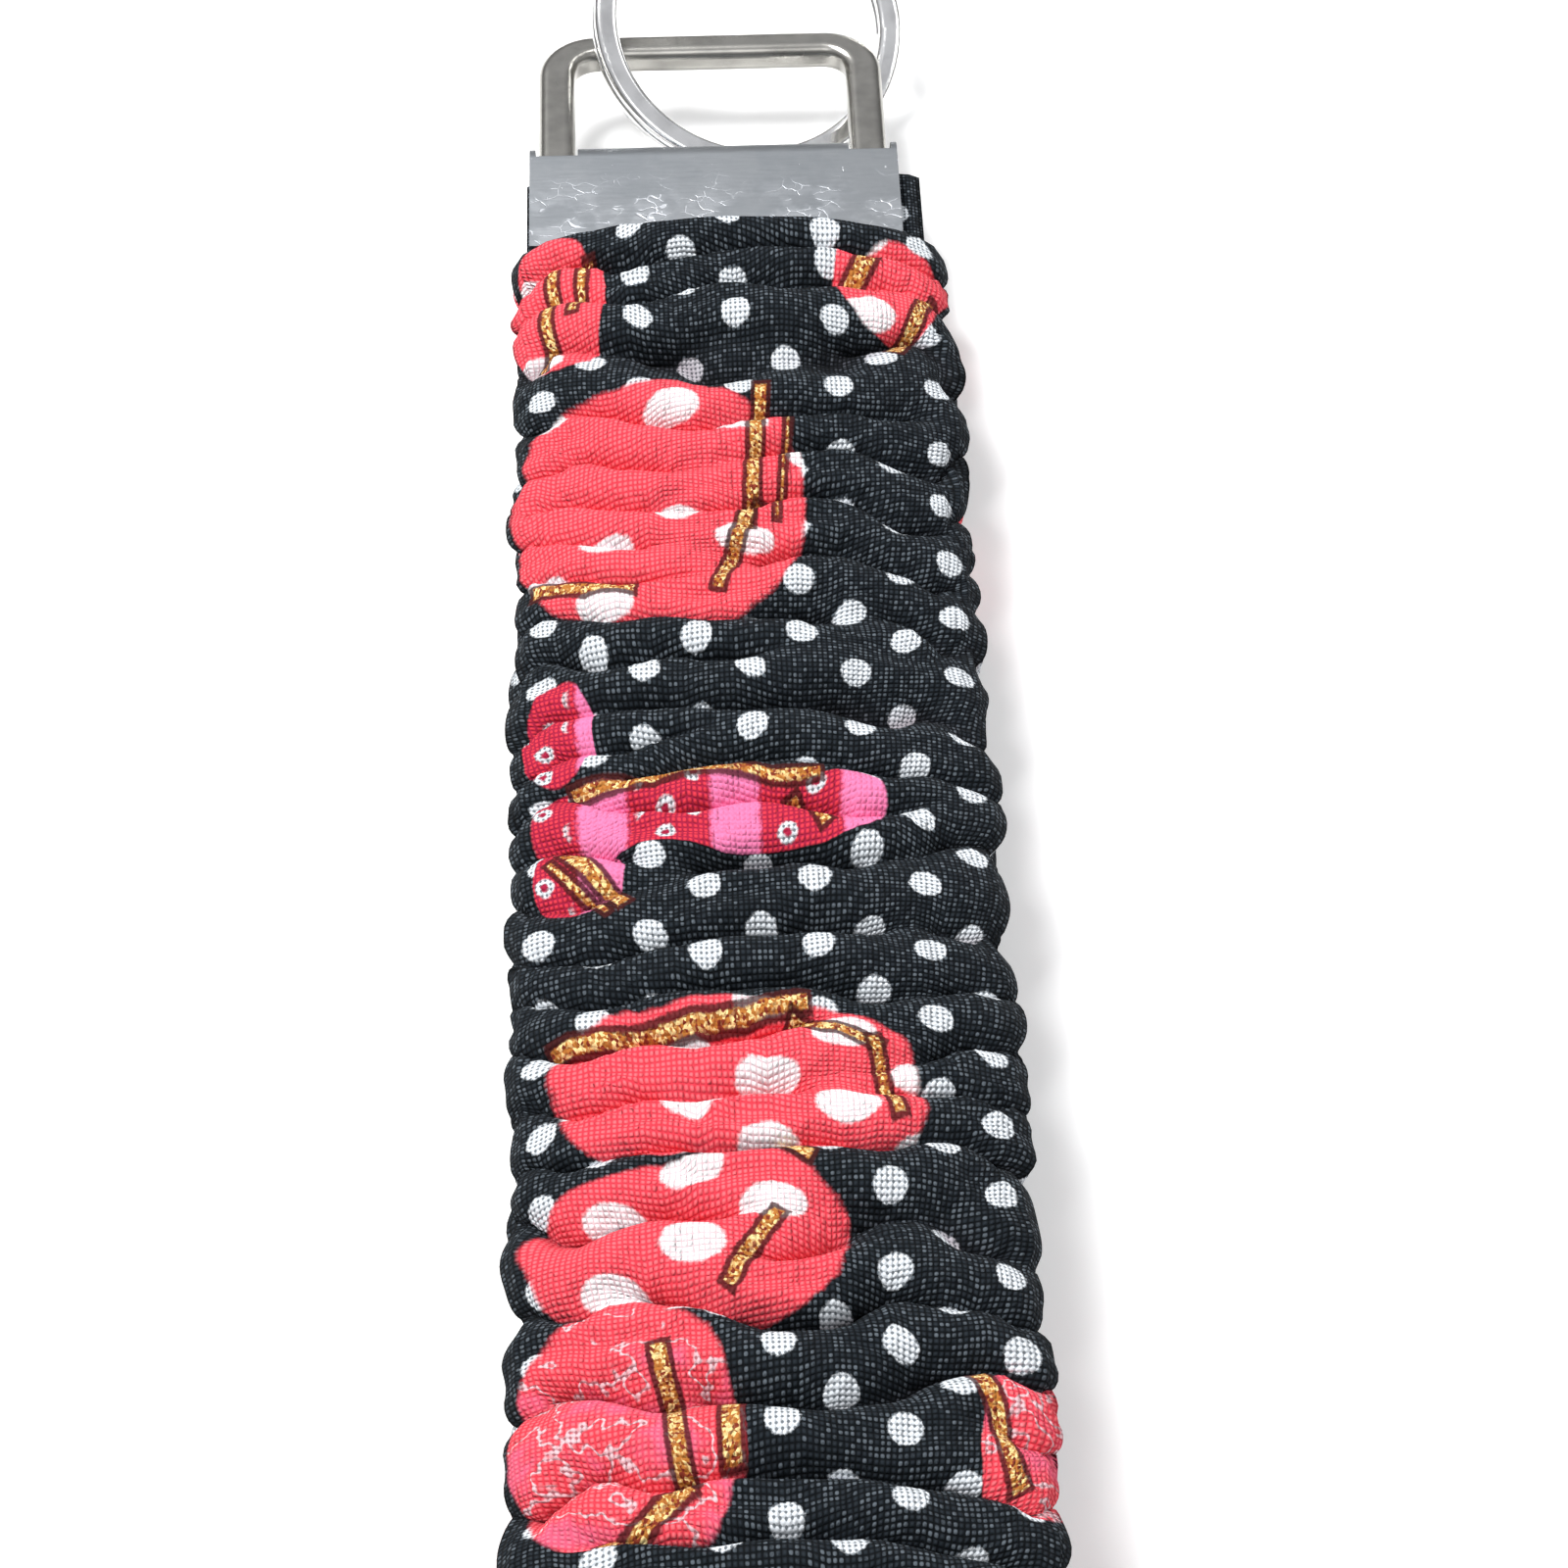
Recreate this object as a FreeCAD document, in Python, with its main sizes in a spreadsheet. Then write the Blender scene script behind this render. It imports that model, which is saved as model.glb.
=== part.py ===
import FreeCAD
import Part
import Sketcher
import math
import os

# Wristlet keychain lying on a table: a ruched fabric tube over an elastic band, folded in two and
# crimped in a sheet metal clamp, with a wire bail in the fold of the clamp and a split ring on the bail.
# Millimetres. X runs across the strap, Y along it towards the ring, and Z up from the table.
# The origin is on the table, under the middle of the strap.

DRIVING_SIZES = {
    # The strap, from the mouth of the clamp to the outside of the far bend.
    "strap_length": 150.0,
    "layer_thickness": 6.2,
    "contact_gap": 0.4,
    "contact_length": 40.0,
    "wrist_gap": 8.0,
    "edge_roundness": 2.9,
    "bend_roundness": 0.93,
    "lift_bend": 120.0,
    # Where both layers are pinched together in front of the clamp.
    "nose_length": 13.0,
    "nose_overhang": 0.5,
    "nose_thickness": 1.8,
    "nose_slit": 0.6,
    "flex_gap": 0.7,
    # The elastic band and the seam's thread inside the tube, with the cloth beside them.
    "elastic_width": 25.0,
    "elastic_thickness": 1.2,
    "side_room": 2.65,
    "side_wall": 2.6,
    "elastic_clearance": 0.3,
    "elastic_parting": 0.1,
    "elastic_start": 3.5,
    "elastic_run": 2.5,
    "elastic_bend": 12.0,
    "thread_thickness": 0.6,
    # The clamp, from its mouth to the outside of its fold.
    "clamp_width": 32.0,
    "clamp_height": 13.6,
    "sheet_thickness": 1.0,
    "fold_roundness": 0.97,
    "slot_lift": 0.2,
    "slot_play": 0.25,
    "tooth_height": 0.7,
    "tooth_width": 1.8,
    "tooth_depth": 0.9,
    "tooth_margin": 1.6,
    "tooth_count": 10.0,
    # The crimped ends of the tube and of the elastic.
    "end_overhang": 1.6,
    "end_setback": 0.5,
    "crimp_clearance": 0.05,
    "cloth_wall": 0.3,
    "stitch_margin": 1.5,
    "stitch_count": 9.0,
    "stitch_thickness": 0.4,
    "stitch_groove": 0.25,
    # The bail, a flat wire loop whose round lower bar turns in the fold.
    "bail_rise": 15.1,
    "bail_inset": 0.75,
    "bail_thickness": 2.6,
    "bail_leg": 3.2,
    "bail_top": 2.8,
    "bail_corner": 5.0,
    "bail_window_corner": 2.0,
    "bail_edge": 0.9,
    "bar_play": 0.2,
    # The split ring, a flat wire wound in two turns.
    "ring_diameter": 28.0,
    "wire_width": 2.1,
    "wire_thickness": 1.3,
    "wire_edge": 0.6,
    "turn_gap": 0.08,
    "turn_angle": 320.0,
    "crossing_angle": 40.0,
    "ring_clearance": 0.3,
    "ring_inset": 2.35,
    "ring_ahead": 2.0,
    "ring_side_lean": 10.1,
}

STEEPEST_LEAN = 60.0
LEAN_STEPS = 40
TABLE_CLEARANCE = 0.1


class Size:
    """A length with its number, for drawing, and its text, for binding to the spreadsheet."""

    def __init__(self, number, text=None):
        self.number = float(number)
        self.text = text or repr(float(number))

    def _joined(self, sign, other, number):
        return Size(number, f"({self.text} {sign} {other.text})")

    def __add__(self, other):
        other = as_size(other)
        return self._joined("+", other, self.number + other.number)

    def __sub__(self, other):
        other = as_size(other)
        return self._joined("-", other, self.number - other.number)

    def __mul__(self, other):
        other = as_size(other)
        return self._joined("*", other, self.number * other.number)

    def __truediv__(self, other):
        other = as_size(other)
        return self._joined("/", other, self.number / other.number)

    def __neg__(self):
        return self * -1

    __radd__ = __add__
    __rmul__ = __mul__


def as_size(value):
    return value if isinstance(value, Size) else Size(value)


doc = FreeCAD.newDocument("wristlet_keychain")
sheet = doc.addObject("Spreadsheet::Sheet", "Sizes")
SIZE = {}
for row, (alias, number) in enumerate(DRIVING_SIZES.items(), start=1):
    sheet.set(f"A{row}", alias)
    sheet.set(f"B{row}", str(number))
    sheet.setAlias(f"B{row}", alias)
    SIZE[alias] = Size(number, f"Sizes.{alias}")
doc.recompute()


# Places that several pieces share.
MOUTH = SIZE["strap_length"] / 2
FAR_END = -MOUTH
STRAP_WIDTH = SIZE["elastic_width"] + (SIZE["side_room"] + SIZE["side_wall"]) * 2
BAIL_WIDTH = SIZE["clamp_width"] - SIZE["bail_inset"] * 2
CLAMP_LEVEL = SIZE["layer_thickness"] + SIZE["contact_gap"] / 2
CLAMP_GAP = SIZE["bail_thickness"] + SIZE["bar_play"] * 2
CLAMP_THICKNESS = CLAMP_GAP + SIZE["sheet_thickness"] * 2
CLAMP_TOP = MOUTH + SIZE["clamp_height"]
FOLD_CENTRE = CLAMP_TOP - CLAMP_THICKNESS / 2
BAIL_TOP = CLAMP_TOP + SIZE["bail_rise"]
BAR_CENTRE = BAIL_TOP - SIZE["bail_top"] / 2


# Drawing.
def new_body(label):
    body = doc.addObject("PartDesign::Body", label)
    body.Label = label
    return body


def new_sketch(body, name, plane_role, lift=None):
    """An empty sketch on one of the body's own origin planes, lifted off it along its normal."""
    sketch = body.newObject("Sketcher::SketchObject", name)
    plane = next(f for f in body.Origin.OriginFeatures if f.Role == plane_role)
    sketch.AttachmentSupport = [(plane, "")]
    sketch.MapMode = "FlatFace"
    if lift is not None:
        sketch.setExpression("AttachmentOffset.Base.z", lift.text)
    doc.recompute()
    return sketch


def fix(sketch, kind, geometry, point, value):
    """Holds a point at a distance from the sketch's origin, along one of its axes."""
    index = sketch.addConstraint(Sketcher.Constraint(kind, -1, 1, geometry, point, value.number))
    sketch.setExpression(f"Constraints[{index}]", value.text)


def fix_point(sketch, geometry, point, place):
    fix(sketch, "DistanceX", geometry, point, as_size(place[0]))
    fix(sketch, "DistanceY", geometry, point, as_size(place[1]))


def vector(place):
    return FreeCAD.Vector(as_size(place[0]).number, as_size(place[1]).number, 0)


def draw_polygon(sketch, corners):
    """A closed outline of straight lines with every corner held."""
    first = sketch.GeometryCount
    count = len(corners)
    for i in range(count):
        sketch.addGeometry(Part.LineSegment(vector(corners[i]), vector(corners[(i + 1) % count])))
    for i in range(count):
        following = first + (i + 1) % count
        sketch.addConstraint(Sketcher.Constraint("Coincident", first + i, 2, following, 1))
    for i, corner in enumerate(corners):
        fix_point(sketch, first + i, 1, corner)


def draw_circle(sketch, centre, radius):
    index = sketch.addGeometry(Part.Circle(vector(centre), FreeCAD.Vector(0, 0, 1), radius.number))
    fix_point(sketch, index, 3, centre)
    bound = sketch.addConstraint(Sketcher.Constraint("Radius", index, radius.number))
    sketch.setExpression(f"Constraints[{bound}]", radius.text)


def arc_at(before, corner, after, radius):
    """The arc that rounds a corner, and its two ends."""
    inward = (before - corner).normalize()
    outward = (after - corner).normalize()
    half = inward.getAngle(outward) / 2
    start = corner + inward * (radius / math.tan(half))
    end = corner + outward * (radius / math.tan(half))
    centre = corner + (inward + outward).normalize() * (radius / math.sin(half))
    middle = centre + (corner - centre).normalize() * radius
    return start, middle, end


def draw_rounded(sketch, corners, radii):
    """A closed outline of straight runs between held corners. A corner with a radius is rounded."""
    places = [vector(corner) for corner in corners]
    count = len(places)
    arcs = {
        i: arc_at(places[i - 1], places[i], places[(i + 1) % count], as_size(radius).number)
        for i, radius in enumerate(radii)
        if radius is not None
    }
    runs = []
    for i in range(count):
        following = (i + 1) % count
        start = arcs[i][2] if i in arcs else places[i]
        end = arcs[following][0] if following in arcs else places[following]
        runs.append(sketch.addGeometry(Part.LineSegment(start, end)))
    for i, corner in enumerate(corners):
        if i in arcs:
            round_corner(sketch, arcs[i], as_size(radii[i]), corner, runs[i - 1], runs[i])
        else:
            sketch.addConstraint(Sketcher.Constraint("Coincident", runs[i - 1], 2, runs[i], 1))
            fix_point(sketch, runs[i], 1, corner)


def round_corner(sketch, ends, radius, corner, before, after):
    """A tangent arc between two runs, whose lines meet at the held corner."""
    start, middle, end = ends
    arc = sketch.addGeometry(Part.Arc(start, middle, end))
    to_first = sketch.getPoint(arc, 1).distanceToPoint(start)
    to_last = sketch.getPoint(arc, 2).distanceToPoint(start)
    first, last = (1, 2) if to_first < to_last else (2, 1)
    sketch.addConstraint(Sketcher.Constraint("Tangent", before, 2, arc, first))
    sketch.addConstraint(Sketcher.Constraint("Tangent", after, 1, arc, last))
    bound = sketch.addConstraint(Sketcher.Constraint("Radius", arc, radius.number))
    sketch.setExpression(f"Constraints[{bound}]", radius.text)
    mark = sketch.addGeometry(Part.Point(vector(corner)), True)
    fix_point(sketch, mark, 1, corner)
    sketch.addConstraint(Sketcher.Constraint("PointOnObject", mark, 1, before))
    sketch.addConstraint(Sketcher.Constraint("PointOnObject", mark, 1, after))


def draw_band(sketch, line, half):
    """The outline of a strip that follows a line: (y, z, outward y, outward z, radius) at each corner."""
    outside = [(y + half * out_y, z + half * out_z) for y, z, out_y, out_z, _ in line]
    inside = [(y - half * out_y, z - half * out_z) for y, z, out_y, out_z, _ in line]
    outer_radii = [grown(radius, half * abs(out_y)) for _, _, out_y, _, radius in line]
    inner_radii = [grown(radius, half * -abs(out_y)) for _, _, out_y, _, radius in line]
    draw_rounded(sketch, outside + inside[::-1], outer_radii + inner_radii[::-1])


def grown(radius, by):
    return None if radius is None else radius + by


def draw_rounded_box(sketch, width, height, radius, centre=(0, 0)):
    across, up = as_size(centre[0]), as_size(centre[1])
    left, right = across - width / 2, across + width / 2
    low, high = up - height / 2, up + height / 2
    corners = [(left, low), (right, low), (right, high), (left, high)]
    draw_rounded(sketch, corners, [radius] * len(corners))


def draw_box(sketch, width, height, centre=(0, 0)):
    across, up = as_size(centre[0]), as_size(centre[1])
    left, right = across - width / 2, across + width / 2
    low, high = up - height / 2, up + height / 2
    draw_polygon(sketch, [(left, low), (right, low), (right, high), (left, high)])


# Features.
def grow(body, kind, name, sketch, length, both_ways=True, backwards=False):
    """A pad or a pocket whose length is bound to the sheet."""
    feature = body.newObject(f"PartDesign::{kind}", name)
    feature.Profile = sketch
    feature.setExpression("Length", length.text)
    if both_ways:
        feature.SideType = "Symmetric"
    feature.Reversed = backwards
    doc.recompute()
    return feature


def cut(body, name, sketch, length, both_ways=True, backwards=False):
    before = body.Shape.Volume
    feature = grow(body, "Pocket", name, sketch, length, both_ways, backwards)
    if body.Shape.Volume >= before:
        raise RuntimeError(f"{body.Label}: {name} removes nothing")
    return feature


def repeat(body, name, feature, axis_role, pitch, count):
    """Copies of a feature in a row along one of the body's axes."""
    row = body.newObject("PartDesign::LinearPattern", name)
    axis = next(f for f in body.Origin.OriginFeatures if f.Role == axis_role)
    row.Originals = [feature]
    row.Direction = (axis, [""])
    row.setExpression("Length", (pitch * (count - 1)).text)
    row.setExpression("Occurrences", count.text)
    body.Tip = row
    doc.recompute()
    return row


# The strap's centre line, from the upper layer at the clamp round the far bend to the lower layer.
BEND_RADIUS = (SIZE["wrist_gap"] + SIZE["layer_thickness"]) / 2 * SIZE["bend_roundness"]
LOWER_LAYER = SIZE["layer_thickness"] / 2
UPPER_LAYER = CLAMP_LEVEL * 2 - LOWER_LAYER
RAISED_LAYER = LOWER_LAYER + SIZE["layer_thickness"] + SIZE["wrist_gap"]
BEND_LINE = FAR_END + LOWER_LAYER
NOSE_START = MOUTH - SIZE["nose_length"]
LIFT_START = MOUTH - SIZE["contact_length"]

LOOP_LINE = [
    (LIFT_START, UPPER_LAYER, 0, 1, SIZE["lift_bend"]),
    (BEND_LINE, RAISED_LAYER, -1, 1, BEND_RADIUS),
    (BEND_LINE, LOWER_LAYER, -1, -1, BEND_RADIUS),
]
TUBE_LINE = [
    (NOSE_START, UPPER_LAYER, 0, 1, None),
    *LOOP_LINE,
    (NOSE_START, LOWER_LAYER, 0, -1, None),
]
ELASTIC_NEAR = MOUTH - SIZE["elastic_start"]
ELASTIC_TURN = ELASTIC_NEAR - SIZE["elastic_run"]
ELASTIC_APART = SIZE["elastic_thickness"] / 2 + SIZE["elastic_clearance"] + SIZE["elastic_parting"]
ELASTIC_LINE = [
    (ELASTIC_NEAR, CLAMP_LEVEL + ELASTIC_APART, 0, 1, None),
    (ELASTIC_TURN, CLAMP_LEVEL + ELASTIC_APART, 0, 1, SIZE["elastic_bend"]),
    (NOSE_START, UPPER_LAYER, 0, 1, SIZE["elastic_bend"]),
    *LOOP_LINE,
    (NOSE_START, LOWER_LAYER, 0, -1, SIZE["elastic_bend"]),
    (ELASTIC_TURN, CLAMP_LEVEL - ELASTIC_APART, 0, -1, SIZE["elastic_bend"]),
    (ELASTIC_NEAR, CLAMP_LEVEL - ELASTIC_APART, 0, -1, None),
]


# The puffed tube of ruched cloth.
def make_fabric_sleeve():
    body = new_body("fabric_sleeve")
    outline = new_sketch(body, "tube_outline", "YZ_Plane")
    draw_band(outline, TUBE_LINE, SIZE["layer_thickness"] / 2)
    grow(body, "Pad", "tube", outline, STRAP_WIDTH)

    back = new_sketch(body, "nose_back", "XZ_Plane", -NOSE_START)
    draw_rounded_box(back, STRAP_WIDTH, CLAMP_LEVEL * 2, SIZE["edge_roundness"], (0, CLAMP_LEVEL))
    front = new_sketch(body, "nose_front", "XZ_Plane", SIZE["flex_gap"] - MOUTH)
    nose_width = SIZE["clamp_width"] + SIZE["nose_overhang"] * 2
    nose_corner = SIZE["nose_thickness"] / 3
    draw_rounded_box(front, nose_width, SIZE["nose_thickness"], nose_corner, (0, CLAMP_LEVEL))
    nose = body.newObject("PartDesign::AdditiveLoft", "nose")
    nose.Profile = back
    nose.Sections = [front]
    doc.recompute()

    hollow = new_sketch(body, "cavity_outline", "YZ_Plane")
    draw_band(hollow, ELASTIC_LINE, SIZE["elastic_thickness"] / 2 + SIZE["elastic_clearance"])
    cut(body, "cavity", hollow, SIZE["elastic_width"] + SIZE["side_room"] * 2)

    slit = new_sketch(body, "slit_section", "XZ_Plane", -MOUTH)
    draw_box(slit, SIZE["elastic_width"], SIZE["nose_slit"], (0, CLAMP_LEVEL))
    reach = SIZE["elastic_start"] + SIZE["elastic_run"]
    cut(body, "slit", slit, reach, both_ways=False, backwards=True)
    return body


def make_elastic_band():
    body = new_body("elastic_band")
    outline = new_sketch(body, "band_outline", "YZ_Plane")
    draw_band(outline, ELASTIC_LINE, SIZE["elastic_thickness"] / 2)
    grow(body, "Pad", "band", outline, SIZE["elastic_width"])
    return body


# The thread that closes the tube's long seam, beside the elastic.
def make_seam_thread():
    body = new_body("seam_thread")
    outline = new_sketch(body, "thread_outline", "YZ_Plane")
    draw_band(outline, ELASTIC_LINE, SIZE["thread_thickness"] / 2)
    thickness = SIZE["thread_thickness"]
    grow(body, "Pad", "thread", outline, thickness)
    aside = SIZE["elastic_width"] / 2 + SIZE["side_room"] - thickness
    body.setExpression("Placement.Base.x", (-aside).text)
    return body


# The folded sheet, with a slot for each leg of the bail and a row of teeth inside each lip.
def make_clamp_shell():
    body = new_body("clamp_shell")
    middle = (CLAMP_GAP + SIZE["sheet_thickness"]) / 2
    fold = middle * SIZE["fold_roundness"]
    sheet_line = [
        (MOUTH, CLAMP_LEVEL + middle, 0, 1, None),
        (FOLD_CENTRE + middle, CLAMP_LEVEL + middle, 1, 1, fold),
        (FOLD_CENTRE + middle, CLAMP_LEVEL - middle, 1, -1, fold),
        (MOUTH, CLAMP_LEVEL - middle, 0, -1, None),
    ]
    profile = new_sketch(body, "sheet_outline", "YZ_Plane")
    draw_band(profile, sheet_line, SIZE["sheet_thickness"] / 2)
    grow(body, "Pad", "folded_sheet", profile, SIZE["clamp_width"])

    slots = new_sketch(body, "slot_outlines", "XY_Plane", CLAMP_LEVEL)
    slot_width = SIZE["bail_leg"] + SIZE["slot_play"] * 2
    slot_place = (BAIL_WIDTH - SIZE["bail_leg"]) / 2
    slot_height = (CLAMP_THICKNESS / 2 - SIZE["slot_lift"]) * 2
    for side in (-1, 1):
        draw_box(slots, slot_width, slot_height, (slot_place * side, CLAMP_TOP))
    cut(body, "leg_slots", slots, CLAMP_THICKNESS * 2)

    tooth_row = SIZE["clamp_width"] - SIZE["tooth_margin"] * 2 - SIZE["tooth_width"]
    tooth_pitch = tooth_row / (SIZE["tooth_count"] - 1)
    first_tooth = tooth_row / -2
    for side, name in ((-1, "lower"), (1, "upper")):
        tooth = new_sketch(body, f"{name}_tooth_outline", "XZ_Plane", -MOUTH)
        root = CLAMP_LEVEL + (CLAMP_GAP / 2 + SIZE["sheet_thickness"] / 2) * side
        tip = CLAMP_LEVEL + (CLAMP_GAP / 2 - SIZE["tooth_height"]) * side
        left = first_tooth - SIZE["tooth_width"] / 2
        right = first_tooth + SIZE["tooth_width"] / 2
        draw_polygon(tooth, [(left, root), (right, root), (first_tooth, tip)])
        feature = grow(
            body, "Pad", f"{name}_tooth", tooth, SIZE["tooth_depth"], both_ways=False, backwards=True
        )
        repeat(body, f"{name}_teeth", feature, "X_Axis", tooth_pitch, SIZE["tooth_count"])
    return body


# The crimped ends of the tube: four layers of cloth pressed round the two ends of the elastic.
WAD_THICKNESS = CLAMP_GAP - SIZE["crimp_clearance"] * 2
WAD_END = FOLD_CENTRE - SIZE["bail_thickness"] / 2 - SIZE["end_setback"]
WAIST_END = MOUTH + SIZE["tooth_depth"] + SIZE["crimp_clearance"]
STITCH_ROW = (WAIST_END + WAD_END) / 2
POCKET_HEIGHT = (WAD_THICKNESS - SIZE["cloth_wall"] * 4) / 2
POCKET_LIFT = SIZE["cloth_wall"] + POCKET_HEIGHT / 2
STITCH_SPAN = SIZE["elastic_width"] - SIZE["stitch_margin"] * 2
STITCH_PITCH = STITCH_SPAN / (SIZE["stitch_count"] - 1)
FIRST_STITCH = STITCH_SPAN / -2


def bore_stitch_holes(body, depth):
    """A row of through holes, one for each stitch."""
    holes = new_sketch(body, "stitch_hole_outline", "XY_Plane", CLAMP_LEVEL)
    radius = SIZE["stitch_thickness"] / 2 + SIZE["crimp_clearance"]
    draw_circle(holes, (FIRST_STITCH, STITCH_ROW), radius)
    hole = cut(body, "stitch_hole", holes, depth * 2)
    repeat(body, "stitch_holes", hole, "X_Axis", STITCH_PITCH, SIZE["stitch_count"])


def make_sleeve_ends():
    body = new_body("sleeve_ends")
    width = SIZE["clamp_width"]
    outline = new_sketch(body, "wad_outline", "XZ_Plane", -WAIST_END)
    shift = SIZE["end_overhang"] / 2
    draw_box(outline, width + SIZE["end_overhang"], WAD_THICKNESS, (shift, CLAMP_LEVEL))
    grow(body, "Pad", "wad", outline, WAD_END - WAIST_END, both_ways=False, backwards=True)
    waist = new_sketch(body, "waist_outline", "XZ_Plane", -MOUTH)
    waist_height = WAD_THICKNESS - SIZE["tooth_height"] * 2
    draw_box(waist, width + SIZE["end_overhang"], waist_height, (shift, CLAMP_LEVEL))
    grow(body, "Pad", "waist", waist, WAIST_END - MOUTH, both_ways=False, backwards=True)

    pockets = new_sketch(body, "pocket_outlines", "XZ_Plane", -WAD_END)
    elastic = SIZE["elastic_width"] + SIZE["crimp_clearance"] * 2
    for side in (-1, 1):
        draw_box(pockets, elastic, POCKET_HEIGHT, (0, CLAMP_LEVEL + POCKET_LIFT * side))
    depth = WAD_END - WAIST_END - SIZE["cloth_wall"]
    cut(body, "elastic_pockets", pockets, depth, both_ways=False, backwards=True)

    groove = new_sketch(body, "groove_outlines", "YZ_Plane")
    for side in (-1, 1):
        face = CLAMP_LEVEL + WAD_THICKNESS / 2 * side
        groove_height = SIZE["stitch_groove"] * 2
        draw_box(groove, SIZE["stitch_thickness"] * 2, groove_height, (STITCH_ROW, face))
    cut(body, "stitch_grooves", groove, STITCH_PITCH * SIZE["stitch_count"])
    bore_stitch_holes(body, WAD_THICKNESS)
    return body


def make_elastic_ends():
    body = new_body("elastic_ends")
    outline = new_sketch(body, "end_outlines", "XZ_Plane", -(WAIST_END + SIZE["cloth_wall"] * 2))
    for side in (-1, 1):
        height = POCKET_HEIGHT - SIZE["crimp_clearance"] * 2
        draw_box(outline, SIZE["elastic_width"], height, (0, CLAMP_LEVEL + POCKET_LIFT * side))
    depth = WAD_END - WAIST_END - SIZE["cloth_wall"] * 2
    grow(body, "Pad", "ends", outline, depth, both_ways=False, backwards=True)
    bore_stitch_holes(body, WAD_THICKNESS)
    return body


def make_end_stitching():
    body = new_body("end_stitching")
    rows = new_sketch(body, "row_outlines", "YZ_Plane")
    height = SIZE["stitch_groove"]
    for side in (-1, 1):
        level = CLAMP_LEVEL + (WAD_THICKNESS - height) / 2 * side
        draw_box(rows, SIZE["stitch_thickness"], height, (STITCH_ROW, level))
    grow(body, "Pad", "rows", rows, STITCH_SPAN + SIZE["stitch_thickness"])
    posts = new_sketch(body, "post_outline", "XY_Plane", CLAMP_LEVEL)
    draw_circle(posts, (FIRST_STITCH, STITCH_ROW), SIZE["stitch_thickness"] / 2)
    post = grow(body, "Pad", "post", posts, WAD_THICKNESS - height)
    repeat(body, "posts", post, "X_Axis", STITCH_PITCH, SIZE["stitch_count"])
    return body


# The bail: two legs and a top bar of flat wire, and the round lower bar.
def make_bail():
    body = new_body("bail")
    outline = new_sketch(body, "bail_outline", "XY_Plane", CLAMP_LEVEL)
    side = BAIL_WIDTH / 2
    corner = SIZE["bail_corner"]
    inside = side - SIZE["bail_leg"]
    window_top = BAIL_TOP - SIZE["bail_top"]
    window_corner = SIZE["bail_window_corner"]
    corners = [
        (-side, FOLD_CENTRE),
        (-side, BAIL_TOP),
        (side, BAIL_TOP),
        (side, FOLD_CENTRE),
        (inside, FOLD_CENTRE),
        (inside, window_top),
        (-inside, window_top),
        (-inside, FOLD_CENTRE),
    ]
    radii = [None, corner, corner, None, None, window_corner, window_corner, None]
    draw_rounded(outline, corners, radii)
    wire = grow(body, "Pad", "legs_and_top", outline, SIZE["bail_thickness"])
    edges = [
        f"Edge{i}"
        for i, edge in enumerate(wire.Shape.Edges, start=1)
        if edge.BoundBox.ZLength < 0.01 and edge.BoundBox.YMax > FOLD_CENTRE.number + 0.01
    ]
    rounding = body.newObject("PartDesign::Fillet", "rounded_wire")
    rounding.Base = (wire, edges)
    rounding.setExpression("Radius", SIZE["bail_edge"].text)
    doc.recompute()
    bar = new_sketch(body, "bar_outline", "YZ_Plane")
    draw_circle(bar, (FOLD_CENTRE, CLAMP_LEVEL), SIZE["bail_thickness"] / 2)
    grow(body, "Pad", "lower_bar", bar, BAIL_WIDTH)
    return body


# The split ring: a lower turn, an upper turn and the crossing that joins them.
def make_split_ring():
    body = new_body("split_ring")
    middle = (SIZE["ring_diameter"] - SIZE["wire_width"]) / 2
    rise = SIZE["wire_thickness"] + SIZE["turn_gap"]
    for side, name in ((-1, "lower"), (1, "upper")):
        section = new_sketch(body, f"{name}_wire_section", "XZ_Plane")
        level = rise / 2 * side
        draw_rounded_box(
            section, SIZE["wire_width"], SIZE["wire_thickness"], SIZE["wire_edge"], (middle, level)
        )
        turn = body.newObject("PartDesign::Revolution", f"{name}_turn")
        turn.Profile = section
        turn.ReferenceAxis = (section, ["V_Axis"])
        turn.setExpression("Angle", SIZE["turn_angle"].text)
        doc.recompute()
    start = new_sketch(body, "crossing_section", "XZ_Plane")
    draw_rounded_box(
        start, SIZE["wire_width"], SIZE["wire_thickness"], SIZE["wire_edge"], (middle, rise / 2)
    )
    crossing = body.newObject("PartDesign::AdditiveHelix", "crossing")
    crossing.Profile = start
    crossing.ReferenceAxis = (start, ["V_Axis"])
    crossing.Mode = "pitch-height-angle"
    crossing.setExpression("Pitch", (rise * 360 / SIZE["crossing_angle"]).text)
    crossing.setExpression("Height", rise.text)
    crossing.Reversed = True
    doc.recompute()
    body.Placement = lean_ring()
    return body


def lean_ring():
    """Hooks the ring over the bail's top bar and leans it until it touches the table."""
    flat = 0.0
    steep = STEEPEST_LEAN
    for _ in range(LEAN_STEPS):
        lean = (flat + steep) / 2
        if lowest_point(ring_placement(lean)) > TABLE_CLEARANCE:
            flat = lean
        else:
            steep = lean
    return ring_placement(flat)


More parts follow.
